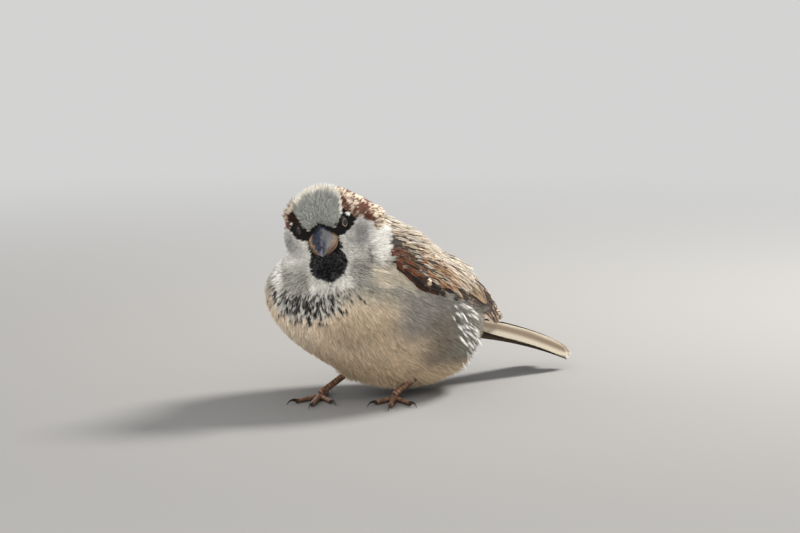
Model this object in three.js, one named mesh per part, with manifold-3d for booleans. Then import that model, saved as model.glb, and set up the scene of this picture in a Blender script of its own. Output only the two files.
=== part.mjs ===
// A male house sparrow, life size, standing still with its plumage fluffed and its head turned to its left.
// Millimetres, +Z up. The bird faces -Y and its own left side is +X.
// Lengths along the body run along Y, from the breast to the tip of the tail.
import * as THREE from 'three';
import { mergeVertices } from 'three/addons/utils/BufferGeometryUtils.js';
import Module from 'manifold-3d';

const wasm = await Module();
wasm.setup();

// ---- Driving dimensions -------------------------------------------------------------------------

const GAP = 0.3; // clearance between pieces that touch
const SIDES = [['left', 1], ['right', -1]];
const UP = new THREE.Vector3(0, 0, 1);
const SIDEWAYS = new THREE.Vector3(1, 0, 0);

// The trunk, out to the tips of the body feathers. Each row is: distance along Y, height of the
// section's middle, its half width and its half height, before the ends are rounded off.
const TRUNK_FRONT = -37;
const TRUNK_REAR = 47;
const TRUNK_ROUNDNESS = 2.3;
const TRUNK_SECTIONS = [
  [-37, 33.5, 28, 20],
  [-15, 32, 26.4, 23.2],
  [5, 28.6, 26.3, 26.1],
  [25, 22.6, 23, 22.6],
  [47, 19.5, 10.5, 14.5],
];
const TRUNK_KEEL = 0.12; // how much narrower the belly is than the flanks
const TRUNK_BACK = 0.97; // how high the back rises, as a share of the belly's depth
const TRUNK_RINGS = 18;
const TRUNK_SIDES = 24;
const RUMP_CUT = { at: [0, 31, 22], tilt: -75 };

// The neck is a short thick cone from inside the head to inside the trunk.
const NECK_TOP = new THREE.Vector3(0.5, -20, 65);
const NECK_BASE = new THREE.Vector3(-0.5, -4.5, 33);
const NECK_TOP_RADIUS = 12;
const NECK_BASE_RADIUS = 23.2;
const NECK_DOME = 4; // how square its domed top is
const NECK_RINGS = 8;
const NECK_SIDES = 22;
const NECK_CUT = { at: [0, -36, 36.5], tilt: 27 };

// The head, in its own frame: the origin lies midway between the eyes, the bill points to -Y.
const HEAD_PLACE = new THREE.Vector3(4.6, -24.7, 56.1);
const HEAD_TURN = 44; // degrees to the bird's left
const HEAD_NOD = 9; // degrees down
const HEAD_LEAN = -10; // degrees, the left eye higher
const HEAD_FRONT = -10.6;
const HEAD_REAR = 14.5;
const HEAD_ROUNDNESS = 2.5;
const HEAD_NARROWING = 0.12; // how much narrower the crown is than the cheeks
// Distance along Y, level of the widest part, half width, rise and drop from that level.
const HEAD_SECTIONS = [
  [-10.6, -1.2, 7.5, 7.5, 8],
  [-5, -3, 9.9, 11.7, 9.3],
  [1, -4.4, 12.4, 14.6, 10.6],
  [7, -5, 14.2, 15.2, 11.2],
  [14.5, -5, 13.5, 13.5, 11.5],
];
const HEAD_RINGS = 14;
const HEAD_SIDES = 22;
const HEAD_CUT = { at: [0, -7, -12], tilt: 17 };

const EYE_RADIUS = 2.3;
const EYE_SEGMENTS = [12, 8];
const EYE_PLACE = new THREE.Vector3(5.5, -4.7, 0.6);

// The bill, from inside the forehead feathers to its tip.
const BILL_ROOT = -7.5;
const BILL_TIP = -21.4;
const BILL_HALF_WIDTH = 4.4;
const CULMEN_HEIGHT = 2.1; // at the root, above the line between the eyes
const CULMEN_TIP_HEIGHT = -4.1;
const GAPE_HEIGHT = -2.3;
const GONYS_DEPTH = -6.2;
const BILL_RINGS = 8;
const BILL_SIDES = 14;
const LOWER_BILL_SHORTER = 1.0;
const LOWER_BILL_WIDTH = 0.93; // of the upper half's
const BILL_EDGE = 0.1; // least height of either half, at its tip

// The folded wing is a shell over an arch that follows the trunk and then closes over the tail.
// Distance along Y, the arch's half width, middle height and half height, the angles of the
// wing's lower and upper edges round the arch in degrees, and its thickness.
const WING_SECTIONS = [
  [-18, 23.5, 30.5, 23.4, 40, 54, 0.8],
  [-13, 26.2, 30.3, 26.5, 30, 66, 2.6],
  [-3, 27.8, 29.7, 27.7, 14, 73, 3.4],
  [8, 27.6, 27.6, 26.4, 11, 76, 3.4],
  [18, 25.2, 25.4, 23.4, 10, 78, 3],
  [30, 19.8, 23.4, 17.5, 6, 80, 2.6],
  [40, 13.2, 22, 12.2, 1, 80, 2],
  [47, 8.6, 20.4, 8.6, -6, 72, 1.4],
  [54, 5, 17.4, 3.6, -6, 44, 0.6],
];
const WING_RINGS = 20;
const WING_ARC_STEPS = 6;
const WING_EDGE = 0.5; // thickness along the wing's edges
const WING_FULLNESS = 0.7; // below 1, the section is thick right up to its edges
const COVERT_CUT = { at: [0, 7, 40], tilt: -68 }; // where the coverts end
const FLIGHT_CUT = { at: [0, 7, 42], tilt: -23 }; // between the tertials and the primaries

// The tail: twelve feathers folded into a shallow roof, the middle pair on top.
const TAIL_ROOT = new THREE.Vector3(0, 38, 18.6);
const TAIL_BEND = new THREE.Vector3(0, 63, 14.8);
const TAIL_TIP = new THREE.Vector3(0, 84.5, 6);
const TAIL_ROOT_WIDTH = 9;
const TAIL_END_WIDTH = 13.5;
const TAIL_THICKNESS = 0.8;
const TAIL_MIDDLE_SHARE = 0.42;
const TAIL_FALL = 0.8; // how far the roof slopes from its ridge to its edges
const TAIL_STACK = 1.1; // how far the side feathers lie below the middle pair
const TAIL_SIDE_LENGTH = 0.97; // of the middle pair's
const TAIL_PARTING = 0.05; // half the slot between the two sides, as a share of the half width
const TAIL_STEPS = 8;

// The legs. The foot is the joint of the toes, and the heel is hidden in the belly feathers.
const FEET = {
  left: { at: [9.4, 0.6, 2], heel: [11.9, 16.6, 11.4], facing: 40 },
  right: { at: [-8.8, -13.1, 2], heel: [-7.4, 3.6, 9.8], facing: 36 },
};
const TARSUS_RADIUS = 1.05;
const TARSUS_SIDES = 10;
const TARSUS_STEPS = 6;
const TARSUS_END = 0.75; // its rounded end's width
const JOINT_RADIUS = 1.55; // where the toes meet
const JOINT_LENGTH = 1 / 6; // of the tarsus
const THIGH_RADIUS = 5.3;
const THIGH_ABOVE_HEEL = 5;
const THIGH_BELOW_HEEL = 10.5;
const THIGH_TAPER = 0.3;
const THIGH_STEPS = 7;
const THIGH_SIDES = 10;
const TOE_SIDES = 9;
const TOE_STEPS = 7;
const TOE_TAPER = 0.26; // how much thinner a toe is at its claw
const TOE_PADS = { count: 2, swell: 0.08 };
const TOE_END = 0.65; // its rounded ends' width
const TOE_ROOT = 0.4; // from the middle of the foot to where a toe begins
const SOLE_ROUNDING = 0.25; // what lies lower than this on a toe is pressed flat
const TOE_AXIS_HEIGHT = 0.75; // above the ground, less than the toe's radius, so its sole is flat
// Each toe: its direction in degrees to the outside of the foot, its length, its root radius,
// and the length of its claw.
const TOES = {
  middle: { splay: 0, length: 14, radius: 1.1, claw: 5.6 },
  inner: { splay: -30, length: 9.5, radius: 1, claw: 4.8 },
  outer: { splay: 32, length: 10.5, radius: 0.95, claw: 4.5 },
  hind: { splay: 184, length: 8.5, radius: 1.25, claw: 6.5 },
};
const CLAW_RADIUS = 0.62;
const CLAW_TIP_RADIUS = 0.25;
const CLAW_SIDES = 6;
const CLAW_STEPS = 4;
const CLAW_ARCH = { rise: 1.2, along: 0.6 }; // its highest handle above the toe's axis
const CLAW_REACH = 0.93; // from its root to its tip, as a share of its length

// ---- Materials ----------------------------------------------------------------------------------

const finish = (color, roughness) => new THREE.MeshStandardMaterial({ color, roughness, metalness: 0 });

const COLOURS = {
  head: [0x8d8c86, 0.9],
  neck: [0xc9c5ba, 0.9],
  trunk: [0xb9ac98, 0.9],
  rump: [0xa79c8b, 0.9],
  coverts: [0x8a4f2a, 0.85],
  tertials: [0x7a5a3e, 0.85],
  primaries: [0x55463a, 0.8],
  tail: [0x6f6558, 0.8],
  thigh: [0xb4aa9a, 0.9],
  leg: [0x8a5a3c, 0.5],
  claw: [0x2a201b, 0.25],
  bill_upper: [0x4d525c, 0.35],
  bill_lower: [0x9a8468, 0.4],
  eye: [0x120c09, 0.05],
};

// ---- Geometry helpers ---------------------------------------------------------------------------

const vector = (list) => new THREE.Vector3(...list);
const radians = THREE.MathUtils.degToRad;
const mix = THREE.MathUtils.lerp;

// A smooth curve of values through rows of [position, value, value, ...].
function through(rows) {
  const positions = rows.map((row) => row[0]);
  const values = rows.flatMap((row) => row.slice(1));
  const curve = new THREE.CubicInterpolant(positions, values, rows[0].length - 1);
  return (position) => [...curve.evaluate(THREE.MathUtils.clamp(position, positions[0], positions.at(-1)))];
}

// One closed surface through rings of equal count, with a point at each end.
function closedLoft(start, rings, end) {
  const count = rings[0].length;
  const points = [start, ...rings.flat(), end];
  const faces = [];
  const last = points.length - 1;
  for (let i = 0; i < count; i += 1) {
    const next = (i + 1) % count;
    faces.push(0, 1 + i, 1 + next);
    faces.push(last, last - count + next, last - count + i);
  }
  for (let r = 0; r + 1 < rings.length; r += 1) {
    const near = 1 + r * count;
    for (let i = 0; i < count; i += 1) {
      const next = (i + 1) % count;
      faces.push(near + i, near + count + i, near + count + next);
      faces.push(near + i, near + count + next, near + next);
    }
  }
  const geometry = new THREE.BufferGeometry().setFromPoints(points);
  geometry.setIndex(faces);
  return geometry;
}

function signedVolume(geometry) {
  const at = geometry.attributes.position;
  const index = geometry.index;
  const [a, b, c] = [new THREE.Vector3(), new THREE.Vector3(), new THREE.Vector3()];
  let six = 0;
  for (let i = 0; i < index.count; i += 3) {
    a.fromBufferAttribute(at, index.getX(i));
    b.fromBufferAttribute(at, index.getX(i + 1));
    c.fromBufferAttribute(at, index.getX(i + 2));
    six += a.dot(b.cross(c));
  }
  return six / 6;
}

function solid(geometry) {
  const bare = geometry.index ? geometry.clone() : geometry;
  bare.deleteAttribute('normal');
  bare.deleteAttribute('uv');
  const merged = mergeVertices(bare, 1e-4);
  const triVerts = new Uint32Array(merged.index.array);
  if (signedVolume(merged) < 0) triVerts.reverse();
  const vertProperties = new Float32Array(merged.attributes.position.array);
  return new wasm.Manifold(new wasm.Mesh({ numProp: 3, vertProperties, triVerts }));
}

function geometryOf(manifold) {
  const mesh = manifold.getMesh();
  const geometry = new THREE.BufferGeometry();
  geometry.setAttribute('position', new THREE.BufferAttribute(mesh.vertProperties, 3));
  geometry.setIndex(new THREE.BufferAttribute(mesh.triVerts, 1));
  return geometry;
}

// A ring round `centre`: half width across, and separate heights above and below.
// `narrow` and `keel` draw in its sides above and below.
function ovalRing(centre, across, above, halfWidth, rise, drop, sides, narrow = 0, keel = 0) {
  return Array.from({ length: sides }, (_, i) => {
    const angle = (i / sides) * Math.PI * 2;
    const upper = Math.sin(angle) > 0;
    const tall = upper ? rise : drop;
    const waist = 1 - (upper ? narrow : -keel) * Math.sin(angle);
    return centre.clone()
      .addScaledVector(across, halfWidth * waist * Math.cos(angle))
      .addScaledVector(above, tall * Math.sin(angle));
  });
}

const middleOf = (ring) => ring
  .reduce((sum, point) => sum.add(point), new THREE.Vector3())
  .divideScalar(ring.length);

// How full a rounded body is at `share` of its length: 0 at both ends, 1 in the middle.
const fullness = (share, roundness) => Math.sqrt(1 - Math.abs(2 * share - 1) ** roundness);

// A long rounded body along Y: `section(y)` gives its middle height, half width, rise and drop.
function bodyAlongY(front, rear, roundness, section, ringCount, sides, narrow, keel) {
  const rings = [];
  for (let i = 1; i < ringCount; i += 1) {
    const share = (1 - Math.cos((i / ringCount) * Math.PI)) / 2;
    const y = mix(front, rear, share);
    const full = fullness(share, roundness);
    const [middle, halfWidth, rise, drop] = section(y);
    const centre = new THREE.Vector3(0, y, middle);
    const sizes = [halfWidth, rise, drop].map((size) => size * full);
    rings.push(ovalRing(centre, SIDEWAYS, UP, ...sizes, sides, narrow, keel));
  }
  const start = new THREE.Vector3(0, front, section(front)[0]);
  const end = new THREE.Vector3(0, rear, section(rear)[0]);
  return closedLoft(start, rings, end);
}

// A tapering rod along a curve; `radius(share)` gives its radius.
function rod(curve, radius, steps, sides) {
  const rings = [];
  for (let i = 0; i <= steps; i += 1) {
    const share = i / steps;
    const along = curve.getTangentAt(share);
    const across = new THREE.Vector3().crossVectors(along, UP).normalize();
    const above = new THREE.Vector3().crossVectors(across, along).normalize();
    const size = radius(share);
    rings.push(ovalRing(curve.getPointAt(share), across, above, size, size, size, sides));
  }
  return closedLoft(curve.getPointAt(0), rings, curve.getPointAt(1));
}

const FIRST_RING = 0.02; // where a domed end's first ring lies, as a share of the length

// A box as large as anything here, everything on one side of a plane that leans about the X axis.
const HALF_SPACE = 400;
function halfSpace({ at, tilt }, side) {
  const box = new THREE.BoxGeometry(HALF_SPACE, HALF_SPACE, HALF_SPACE);
  box.translate(0, 0, side * (HALF_SPACE / 2 + GAP / 2));
  box.rotateX(radians(tilt));
  box.translate(...at);
  return box;
}

// ---- The head's frame ---------------------------------------------------------------------------

const headMatrix = new THREE.Matrix4()
  .makeRotationFromEuler(new THREE.Euler(radians(HEAD_NOD), radians(HEAD_LEAN), radians(HEAD_TURN), 'ZXY'))
  .setPosition(HEAD_PLACE);

// ---- Flesh: one whole shape, parted by thin cuts -------------------------------------------------

const trunkProfile = through(TRUNK_SECTIONS);

function trunkShape() {
  const section = (y) => {
    const [middle, halfWidth, halfHeight] = trunkProfile(y);
    return [middle, halfWidth, halfHeight * TRUNK_BACK, halfHeight];
  };
  return bodyAlongY(
    TRUNK_FRONT, TRUNK_REAR, TRUNK_ROUNDNESS, section, TRUNK_RINGS, TRUNK_SIDES, 0, TRUNK_KEEL,
  );
}

function headShape() {
  const section = through(HEAD_SECTIONS);
  return bodyAlongY(
    HEAD_FRONT, HEAD_REAR, HEAD_ROUNDNESS, section, HEAD_RINGS, HEAD_SIDES, HEAD_NARROWING, 0,
  );
}

// A cone with a domed top.
function neckShape(grow = 0) {
  const line = new THREE.LineCurve3(NECK_TOP, NECK_BASE);
  const dome = (share) => Math.sqrt(1 - (1 - mix(FIRST_RING, 1, share)) ** NECK_DOME);
  const radius = (share) => mix(NECK_TOP_RADIUS, NECK_BASE_RADIUS, share) * dome(share) + grow;
  return rod(line, radius, NECK_RINGS, NECK_SIDES);
}

function eyeShape(side, grow) {
  const ball = new THREE.SphereGeometry(EYE_RADIUS + grow, ...EYE_SEGMENTS);
  return ball.translate(side * EYE_PLACE.x, EYE_PLACE.y, EYE_PLACE.z);
}

// ---- Bill ---------------------------------------------------------------------------------------

// The bill's outlines: heights and a width against the share of its length from root to tip.
const gapeLine = (share) => mix(GAPE_HEIGHT, CULMEN_TIP_HEIGHT + 0.25, share ** 1.3);
const culmenLine = (share) => mix(CULMEN_HEIGHT, CULMEN_TIP_HEIGHT, 0.45 * share + 0.55 * share ** 2.2);
const gonysLine = (share) => mix(GONYS_DEPTH, CULMEN_TIP_HEIGHT, 0.7 * share + 0.3 * share ** 3);
const billWidth = (share) => BILL_HALF_WIDTH * (1 - share ** 1.7) ** 0.9;

function billHalf(upper, grow = 0) {
  const tip = upper ? BILL_TIP : BILL_TIP + LOWER_BILL_SHORTER;
  const apart = upper ? GAP / 2 : -GAP / 2;
  const rings = [];
  for (let i = 0; i < BILL_RINGS; i += 1) {
    const share = i / BILL_RINGS;
    const y = mix(BILL_ROOT + grow, tip, share);
    const halfWidth = billWidth(share) * (upper ? 1 : LOWER_BILL_WIDTH) + grow;
    const line = gapeLine(share);
    const rise = upper ? Math.max(culmenLine(share) - line, BILL_EDGE) + grow : grow;
    const drop = upper ? grow : Math.max(line - gonysLine(share), BILL_EDGE) + grow;
    const middle = new THREE.Vector3(0, y, line + apart);
    rings.push(ovalRing(middle, SIDEWAYS, UP, halfWidth, rise, drop, BILL_SIDES));
  }
  const end = new THREE.Vector3(0, tip - grow, gapeLine(1) + apart + Math.sign(apart) * BILL_EDGE);
  return closedLoft(middleOf(rings[0]), rings, end);
}

// ---- Wings --------------------------------------------------------------------------------------

const wingProfile = through(WING_SECTIONS);
const WING_FRONT = WING_SECTIONS[0][0];
const WING_REAR = WING_SECTIONS.at(-1)[0];

function onArch(side, y, angle, inwards) {
  const [halfWidth, middle, halfHeight] = wingProfile(y);
  return new THREE.Vector3(
    side * (halfWidth - inwards) * Math.cos(angle),
    y,
    middle + (halfHeight - inwards) * Math.sin(angle),
  );
}

// The wing's crescent section, out along its top and back along its underside.
function wingRing(side, y, grow) {
  const [halfWidth, , , low, high, thickness] = wingProfile(y);
  const spread = radians(high - low) + grow / halfWidth;
  const outer = [];
  const inner = [];
  for (let i = 0; i <= WING_ARC_STEPS; i += 1) {
    const share = i / WING_ARC_STEPS;
    const angle = radians((low + high) / 2) + (share - 0.5) * spread;
    const deep = WING_EDGE + (thickness - WING_EDGE) * Math.sin(share * Math.PI) ** WING_FULLNESS;
    outer.push(onArch(side, y, angle, -grow));
    inner.push(onArch(side, y, angle, deep + grow));
  }
  return [...outer, ...inner.reverse()];
}

function wingShape(side, grow = 0) {
  const rings = [];
  for (let i = 0; i <= WING_RINGS; i += 1) {
    rings.push(wingRing(side, mix(WING_FRONT - grow, WING_REAR + grow, i / WING_RINGS), grow));
  }
  return closedLoft(middleOf(rings[0]), rings, middleOf(rings.at(-1)));
}

// ---- Tail ---------------------------------------------------------------------------------------

const tailCurve = new THREE.QuadraticBezierCurve3(TAIL_ROOT, TAIL_BEND, TAIL_TIP);

// One strip of the folded tail between two shares of its half width.
function tailStrip(from, to, { stack = 0, length = 1, grow = 0 } = {}) {
  const half = TAIL_THICKNESS / 2 + grow;
  const rings = [];
  for (let i = 0; i <= TAIL_STEPS; i += 1) {
    const share = i / TAIL_STEPS;
    const centre = tailCurve.getPoint(share * length);
    const halfWidth = mix(TAIL_ROOT_WIDTH, TAIL_END_WIDTH, share) / 2;
    const point = (across, up) => new THREE.Vector3(
      across * halfWidth, centre.y, centre.z - stack - TAIL_FALL * across * across + up,
    );
    const middle = (from + to) / 2;
    rings.push([
      point(from, -half), point(middle, -half), point(to, -half),
      point(to, half), point(middle, half), point(from, half),
    ]);
  }
  return closedLoft(middleOf(rings[0]), rings, middleOf(rings.at(-1)));
}

// ---- Legs ---------------------------------------------------------------------------------------

// The shank, swelling to the joint of the toes at its foot.
function tarsusShape(name, grow = 0) {
  const { at, heel } = FEET[name];
  const line = new THREE.LineCurve3(vector(at), vector(heel));
  const swelling = (share) => (JOINT_RADIUS - TARSUS_RADIUS) * Math.max(0, 1 - share / JOINT_LENGTH);
  const ending = (share) => (share === 0 ? TARSUS_END : 1);
  const radius = (share) => (TARSUS_RADIUS + swelling(share)) * ending(share) + grow;
  return rod(line, radius, TARSUS_STEPS, TARSUS_SIDES);
}

// The feathered shank above the bare tarsus, drawn in round it.
function thighShape(name, grow = 0) {
  const { at, heel } = FEET[name];
  const down = vector(at).sub(vector(heel)).normalize();
  const start = vector(heel).addScaledVector(down, -THIGH_ABOVE_HEEL);
  const end = vector(heel).addScaledVector(down, THIGH_BELOW_HEEL);
  const round = (share) => fullness(mix(FIRST_RING, 1 - FIRST_RING, share), 2);
  const radius = (share) => THIGH_RADIUS * round(share) * (1 - THIGH_TAPER * share) + grow;
  return rod(new THREE.LineCurve3(start, end), radius, THIGH_STEPS, THIGH_SIDES);
}

// A toe lies along -Y from the middle of the foot, its sole flat on the ground.
function toeShape({ length, radius }, grow = 0) {
  const rings = [];
  for (let i = 0; i <= TOE_STEPS; i += 1) {
    const share = i / TOE_STEPS;
    const pads = 1 + TOE_PADS.swell * Math.cos(share * Math.PI * 2 * TOE_PADS.count);
    const ending = i === 0 || i === TOE_STEPS ? TOE_END : 1;
    const size = radius * (1 - TOE_TAPER * share) * pads * ending + grow;
    const centre = new THREE.Vector3(0, -mix(TOE_ROOT, length, share), TOE_AXIS_HEIGHT);
    rings.push(ovalRing(centre, SIDEWAYS, UP, size, size, TOE_AXIS_HEIGHT, TOE_SIDES));
  }
  for (const point of rings.flat()) {
    if (point.z < SOLE_ROUNDING) point.z = 0;
  }
  return closedLoft(middleOf(rings[0]), rings, middleOf(rings.at(-1)));
}

// A claw runs on from the toe's end and curves down to the ground.
function clawShape({ length, claw }, grow = 0) {
  const root = -length - GAP;
  const start = new THREE.Vector3(0, root, TOE_AXIS_HEIGHT);
  const crown = new THREE.Vector3(0, root - claw * CLAW_ARCH.along, TOE_AXIS_HEIGHT + CLAW_ARCH.rise);
  const end = new THREE.Vector3(0, root - claw * CLAW_REACH, CLAW_TIP_RADIUS + GAP / 2);
  const curve = new THREE.QuadraticBezierCurve3(start, crown, end);
  const radius = (share) => mix(CLAW_RADIUS, CLAW_TIP_RADIUS, share) + grow;
  return rod(curve, radius, CLAW_STEPS, CLAW_SIDES);
}

// Where a toe and its claw lie: turned about the middle of the foot.
function placedToe(name, side, toe) {
  const { at, facing } = FEET[name];
  const place = new THREE.Matrix4()
    .makeRotationZ(radians(facing + side * toe.splay))
    .setPosition(at[0], at[1], 0);
  return (geometry) => solid(geometry.applyMatrix4(place));
}

// ---- Assembly -----------------------------------------------------------------------------------

const bird = new THREE.Group();

const largest = (manifold) => manifold.decompose().sort((a, b) => b.volume() - a.volume())[0];

// The largest body of a shape becomes a named mesh.
function addMesh(parent, name, manifold, look) {
  const mesh = new THREE.Mesh(geometryOf(largest(manifold)), finish(...COLOURS[look]));
  mesh.name = name;
  parent.add(mesh);
}

const headSolid = (geometry) => solid(geometry.clone().applyMatrix4(headMatrix));

// Everything that takes room from the flesh, a gap larger than itself.
const throat = solid(neckShape(GAP)).add(headSolid(headShape()));
let hollows = headSolid(billHalf(true, GAP)).add(headSolid(billHalf(false, GAP)));
for (const [name, side] of SIDES) {
  hollows = hollows
    .add(headSolid(eyeShape(side, GAP)))
    .add(solid(wingShape(side, GAP)).subtract(solid(neckShape())))
    .add(solid(thighShape(name, GAP)))
    .add(solid(tarsusShape(name, GAP)));
  for (const toe of Object.values(TOES)) {
    const placed = placedToe(name, side, toe);
    hollows = hollows.add(placed(toeShape(toe, GAP))).add(placed(clawShape(toe, GAP)));
  }
}
hollows = hollows
  .add(solid(tailStrip(-1 - TAIL_PARTING, 1 + TAIL_PARTING, { grow: GAP })))
  .add(solid(tailStrip(-1 - TAIL_PARTING, 1 + TAIL_PARTING, { stack: TAIL_STACK, grow: GAP })));
const whole = solid(trunkShape()).add(solid(neckShape())).add(headSolid(headShape()));
const flesh = whole.subtract(hollows);

const aboveHeadCut = headSolid(halfSpace(HEAD_CUT, 1));
const belowHeadCut = headSolid(halfSpace(HEAD_CUT, -1));
const collar = flesh.intersect(belowHeadCut).intersect(solid(halfSpace(NECK_CUT, 1)));
const torso = flesh.intersect(belowHeadCut).intersect(solid(halfSpace(NECK_CUT, -1)));
addMesh(bird, 'neck', collar, 'neck');
addMesh(bird, 'trunk', torso.intersect(solid(halfSpace(RUMP_CUT, -1))), 'trunk');
addMesh(bird, 'rump', torso.intersect(solid(halfSpace(RUMP_CUT, 1))), 'rump');

// The head, with its bill and eyes, hangs in the head's own frame.
const headGroup = new THREE.Group();
headGroup.applyMatrix4(headMatrix);
bird.add(headGroup);
const toHead = headMatrix.clone().invert();
const skull = geometryOf(largest(flesh.intersect(aboveHeadCut))).applyMatrix4(toHead);
addMesh(headGroup, 'head', solid(skull), 'head');
addMesh(headGroup, 'bill_upper', solid(billHalf(true)), 'bill_upper');
addMesh(headGroup, 'bill_lower', solid(billHalf(false)), 'bill_lower');

for (const [name, side] of SIDES) {
  addMesh(headGroup, `eye_${name}`, solid(eyeShape(side, 0)), 'eye');

  const wing = solid(wingShape(side)).subtract(throat);
  const coverts = wing.intersect(solid(halfSpace(COVERT_CUT, -1)));
  const flight = wing.intersect(solid(halfSpace(COVERT_CUT, 1)));
  addMesh(bird, `wing_${name}_coverts`, coverts, 'coverts');
  addMesh(bird, `wing_${name}_tertials`, flight.intersect(solid(halfSpace(FLIGHT_CUT, 1))), 'tertials');
  addMesh(bird, `wing_${name}_primaries`, flight.intersect(solid(halfSpace(FLIGHT_CUT, -1))), 'primaries');

  const tarsus = solid(tarsusShape(name));
  const bareShank = tarsus.subtract(solid(thighShape(name, GAP))).subtract(solid(trunkShape()));
  addMesh(bird, `thigh_${name}`, solid(thighShape(name)), 'thigh');
  addMesh(bird, `tarsus_${name}`, bareShank, 'leg');

  // Each toe stops short of the joint and of the toes before it.
  let taken = solid(tarsusShape(name, GAP));
  for (const [toeName, toe] of Object.entries(TOES)) {
    const placed = placedToe(name, side, toe);
    addMesh(bird, `toe_${name}_${toeName}`, placed(toeShape(toe)).subtract(taken), 'leg');
    addMesh(bird, `claw_${name}_${toeName}`, placed(clawShape(toe)), 'claw');
    taken = taken.add(placed(toeShape(toe, GAP)));
  }
}

const tailSide = { stack: TAIL_STACK, length: TAIL_SIDE_LENGTH };
addMesh(bird, 'tail_middle', solid(tailStrip(-TAIL_MIDDLE_SHARE, TAIL_MIDDLE_SHARE)), 'tail');
addMesh(bird, 'tail_left', solid(tailStrip(TAIL_PARTING, 1, tailSide)), 'tail');
addMesh(bird, 'tail_right', solid(tailStrip(-1, -TAIL_PARTING, tailSide)), 'tail');

// The origin is on the ground, in the middle of the bird's own box.
const box = new THREE.Box3().setFromObject(bird, true);
const middle = box.getCenter(new THREE.Vector3());
bird.position.set(-middle.x, -middle.y, -box.min.z);

export default bird;
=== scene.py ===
"""A male house sparrow, life size: skin, plumage, bill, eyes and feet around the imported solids.

Lengths are millimetres in the part's own frame until a mesh is made: the bird faces -Y, its own left
side is +X, +Z is up and the ground is z = 0. The head has a frame of its own, turned to the left. Its
axes are named side, back and up in the functions that use it.
"""
import math
import bpy
import numpy as np
from mathutils import Matrix, Vector
from mathutils.bvhtree import BVHTree


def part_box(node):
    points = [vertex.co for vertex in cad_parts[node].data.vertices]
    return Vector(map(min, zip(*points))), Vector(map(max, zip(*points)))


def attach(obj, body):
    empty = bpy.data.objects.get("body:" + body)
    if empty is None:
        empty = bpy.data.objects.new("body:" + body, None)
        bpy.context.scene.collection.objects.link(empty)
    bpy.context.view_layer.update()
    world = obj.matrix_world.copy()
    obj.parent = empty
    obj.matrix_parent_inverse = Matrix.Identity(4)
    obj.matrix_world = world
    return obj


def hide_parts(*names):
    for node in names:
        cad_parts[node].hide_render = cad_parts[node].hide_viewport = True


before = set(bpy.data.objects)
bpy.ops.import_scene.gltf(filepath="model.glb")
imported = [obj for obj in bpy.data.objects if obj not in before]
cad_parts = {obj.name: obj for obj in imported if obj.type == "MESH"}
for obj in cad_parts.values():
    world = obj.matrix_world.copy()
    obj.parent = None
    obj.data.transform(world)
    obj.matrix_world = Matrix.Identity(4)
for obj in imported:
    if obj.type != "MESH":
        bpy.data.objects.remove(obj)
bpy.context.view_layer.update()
rng = np.random.default_rng(21)
MM = 0.001

# ---- Driving dimensions -------------------------------------------------------------------------

HEAD_TURN, HEAD_NOD, HEAD_LEAN = 44, 9, -10  # degrees: to the left, down, left eye up
EYE_RADIUS = 2.3
EYE_PLACE = np.array([5.5, -4.7, 0.6])  # the left eye's centre in the head's frame
EYE_OPENING = 0.92  # radius of what the lids leave open
EYE_SINK = 0.45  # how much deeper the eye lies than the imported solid's
LID_RADIUS, LID_REACH = 1.3, 2.1  # where the feathers start, and how far the lids go on under them
BILL_ROOT, BILL_TIP = -7.5, -21.4
BILL_HALF_WIDTH = 4.4
CULMEN_HEIGHT, CULMEN_TIP_HEIGHT = 2.1, -4.1
GAPE_HEIGHT, GONYS_DEPTH = -2.3, -6.2
NOSTRIL, NOSTRIL_SIZE = [1.9, -9.9, 0.55], [0.5, 0.8, 0.4]

SKIN_VOXEL = 0.8
BODY_DEPTH = 2.5  # how deep the coat is over the trunk
NECK_DEPTH = 1.6
FACE_DEPTH = 0.7
FACE_CENTRE = [0, -9, -1.5]  # in the head's frame; the coat is shallow and its feathers small near it
BARB_WIDTH = 0.26
CROWN_RAISE = 1.6  # how much the crown's feathers are raised


def srgb(red, green, blue):
    """A colour given as it looks on a screen, 0 to 255, in the linear values that Blender wants."""
    value = np.array([red, green, blue]) / 255
    return np.where(value <= 0.04045, value / 12.92, ((value + 0.055) / 1.055) ** 2.4)


CROWN_GREY = srgb(152, 154, 148)
# Pale crown fringes, brightened to serve also as a painted highlight on the crown.
CROWN_FROST_AND_HIGHLIGHT = srgb(226, 220, 208)
NAPE_BUFF = srgb(218, 204, 182)
CHESTNUT = srgb(86, 41, 23)
BUFF = srgb(226, 205, 170)
MASK_BLACK = srgb(15, 13, 13)
BIB_BLACK = srgb(20, 18, 19)
CHEEK_GREY = srgb(104, 104, 108)
MOTTLE_GREY = srgb(168, 166, 158)
CHEEK_WHITE = srgb(226, 224, 217)
NECK_WHITE = srgb(238, 234, 226)
BREAST_GREY = srgb(153, 151, 140)
BREAST_TAN = srgb(176, 156, 130)
BELLY_BUFF = srgb(220, 201, 175)
BELLY_PALE = srgb(212, 190, 160)
BELLY_PINK = srgb(226, 208, 186)
UNDER_TAIL = srgb(150, 128, 104)
FLANK_GREY = srgb(144, 142, 138)
FLANK_TIP_WHITE = srgb(250, 248, 242)
RUMP_GREY = srgb(150, 138, 122)
DOWN_GREY = srgb(96, 92, 88)
MANTLE_BLACK = srgb(38, 27, 20)
MANTLE_RUFOUS = srgb(172, 124, 82)
MANTLE_CREAM = srgb(222, 211, 193)
MANTLE_STRAW = srgb(218, 200, 168)
SHOULDER_CREAM = srgb(206, 196, 178)
LESSER_DARK = srgb(84, 48, 30)
LESSER_ORANGE = srgb(160, 98, 60)
TERTIAL_BLACK = srgb(36, 27, 22)
TERTIAL_RUFOUS = srgb(158, 112, 76)
TERTIAL_EDGE = srgb(204, 164, 118)
MEDIAN_WHITE = srgb(240, 226, 200)
CREAM_TIP = srgb(232, 222, 200)
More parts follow.
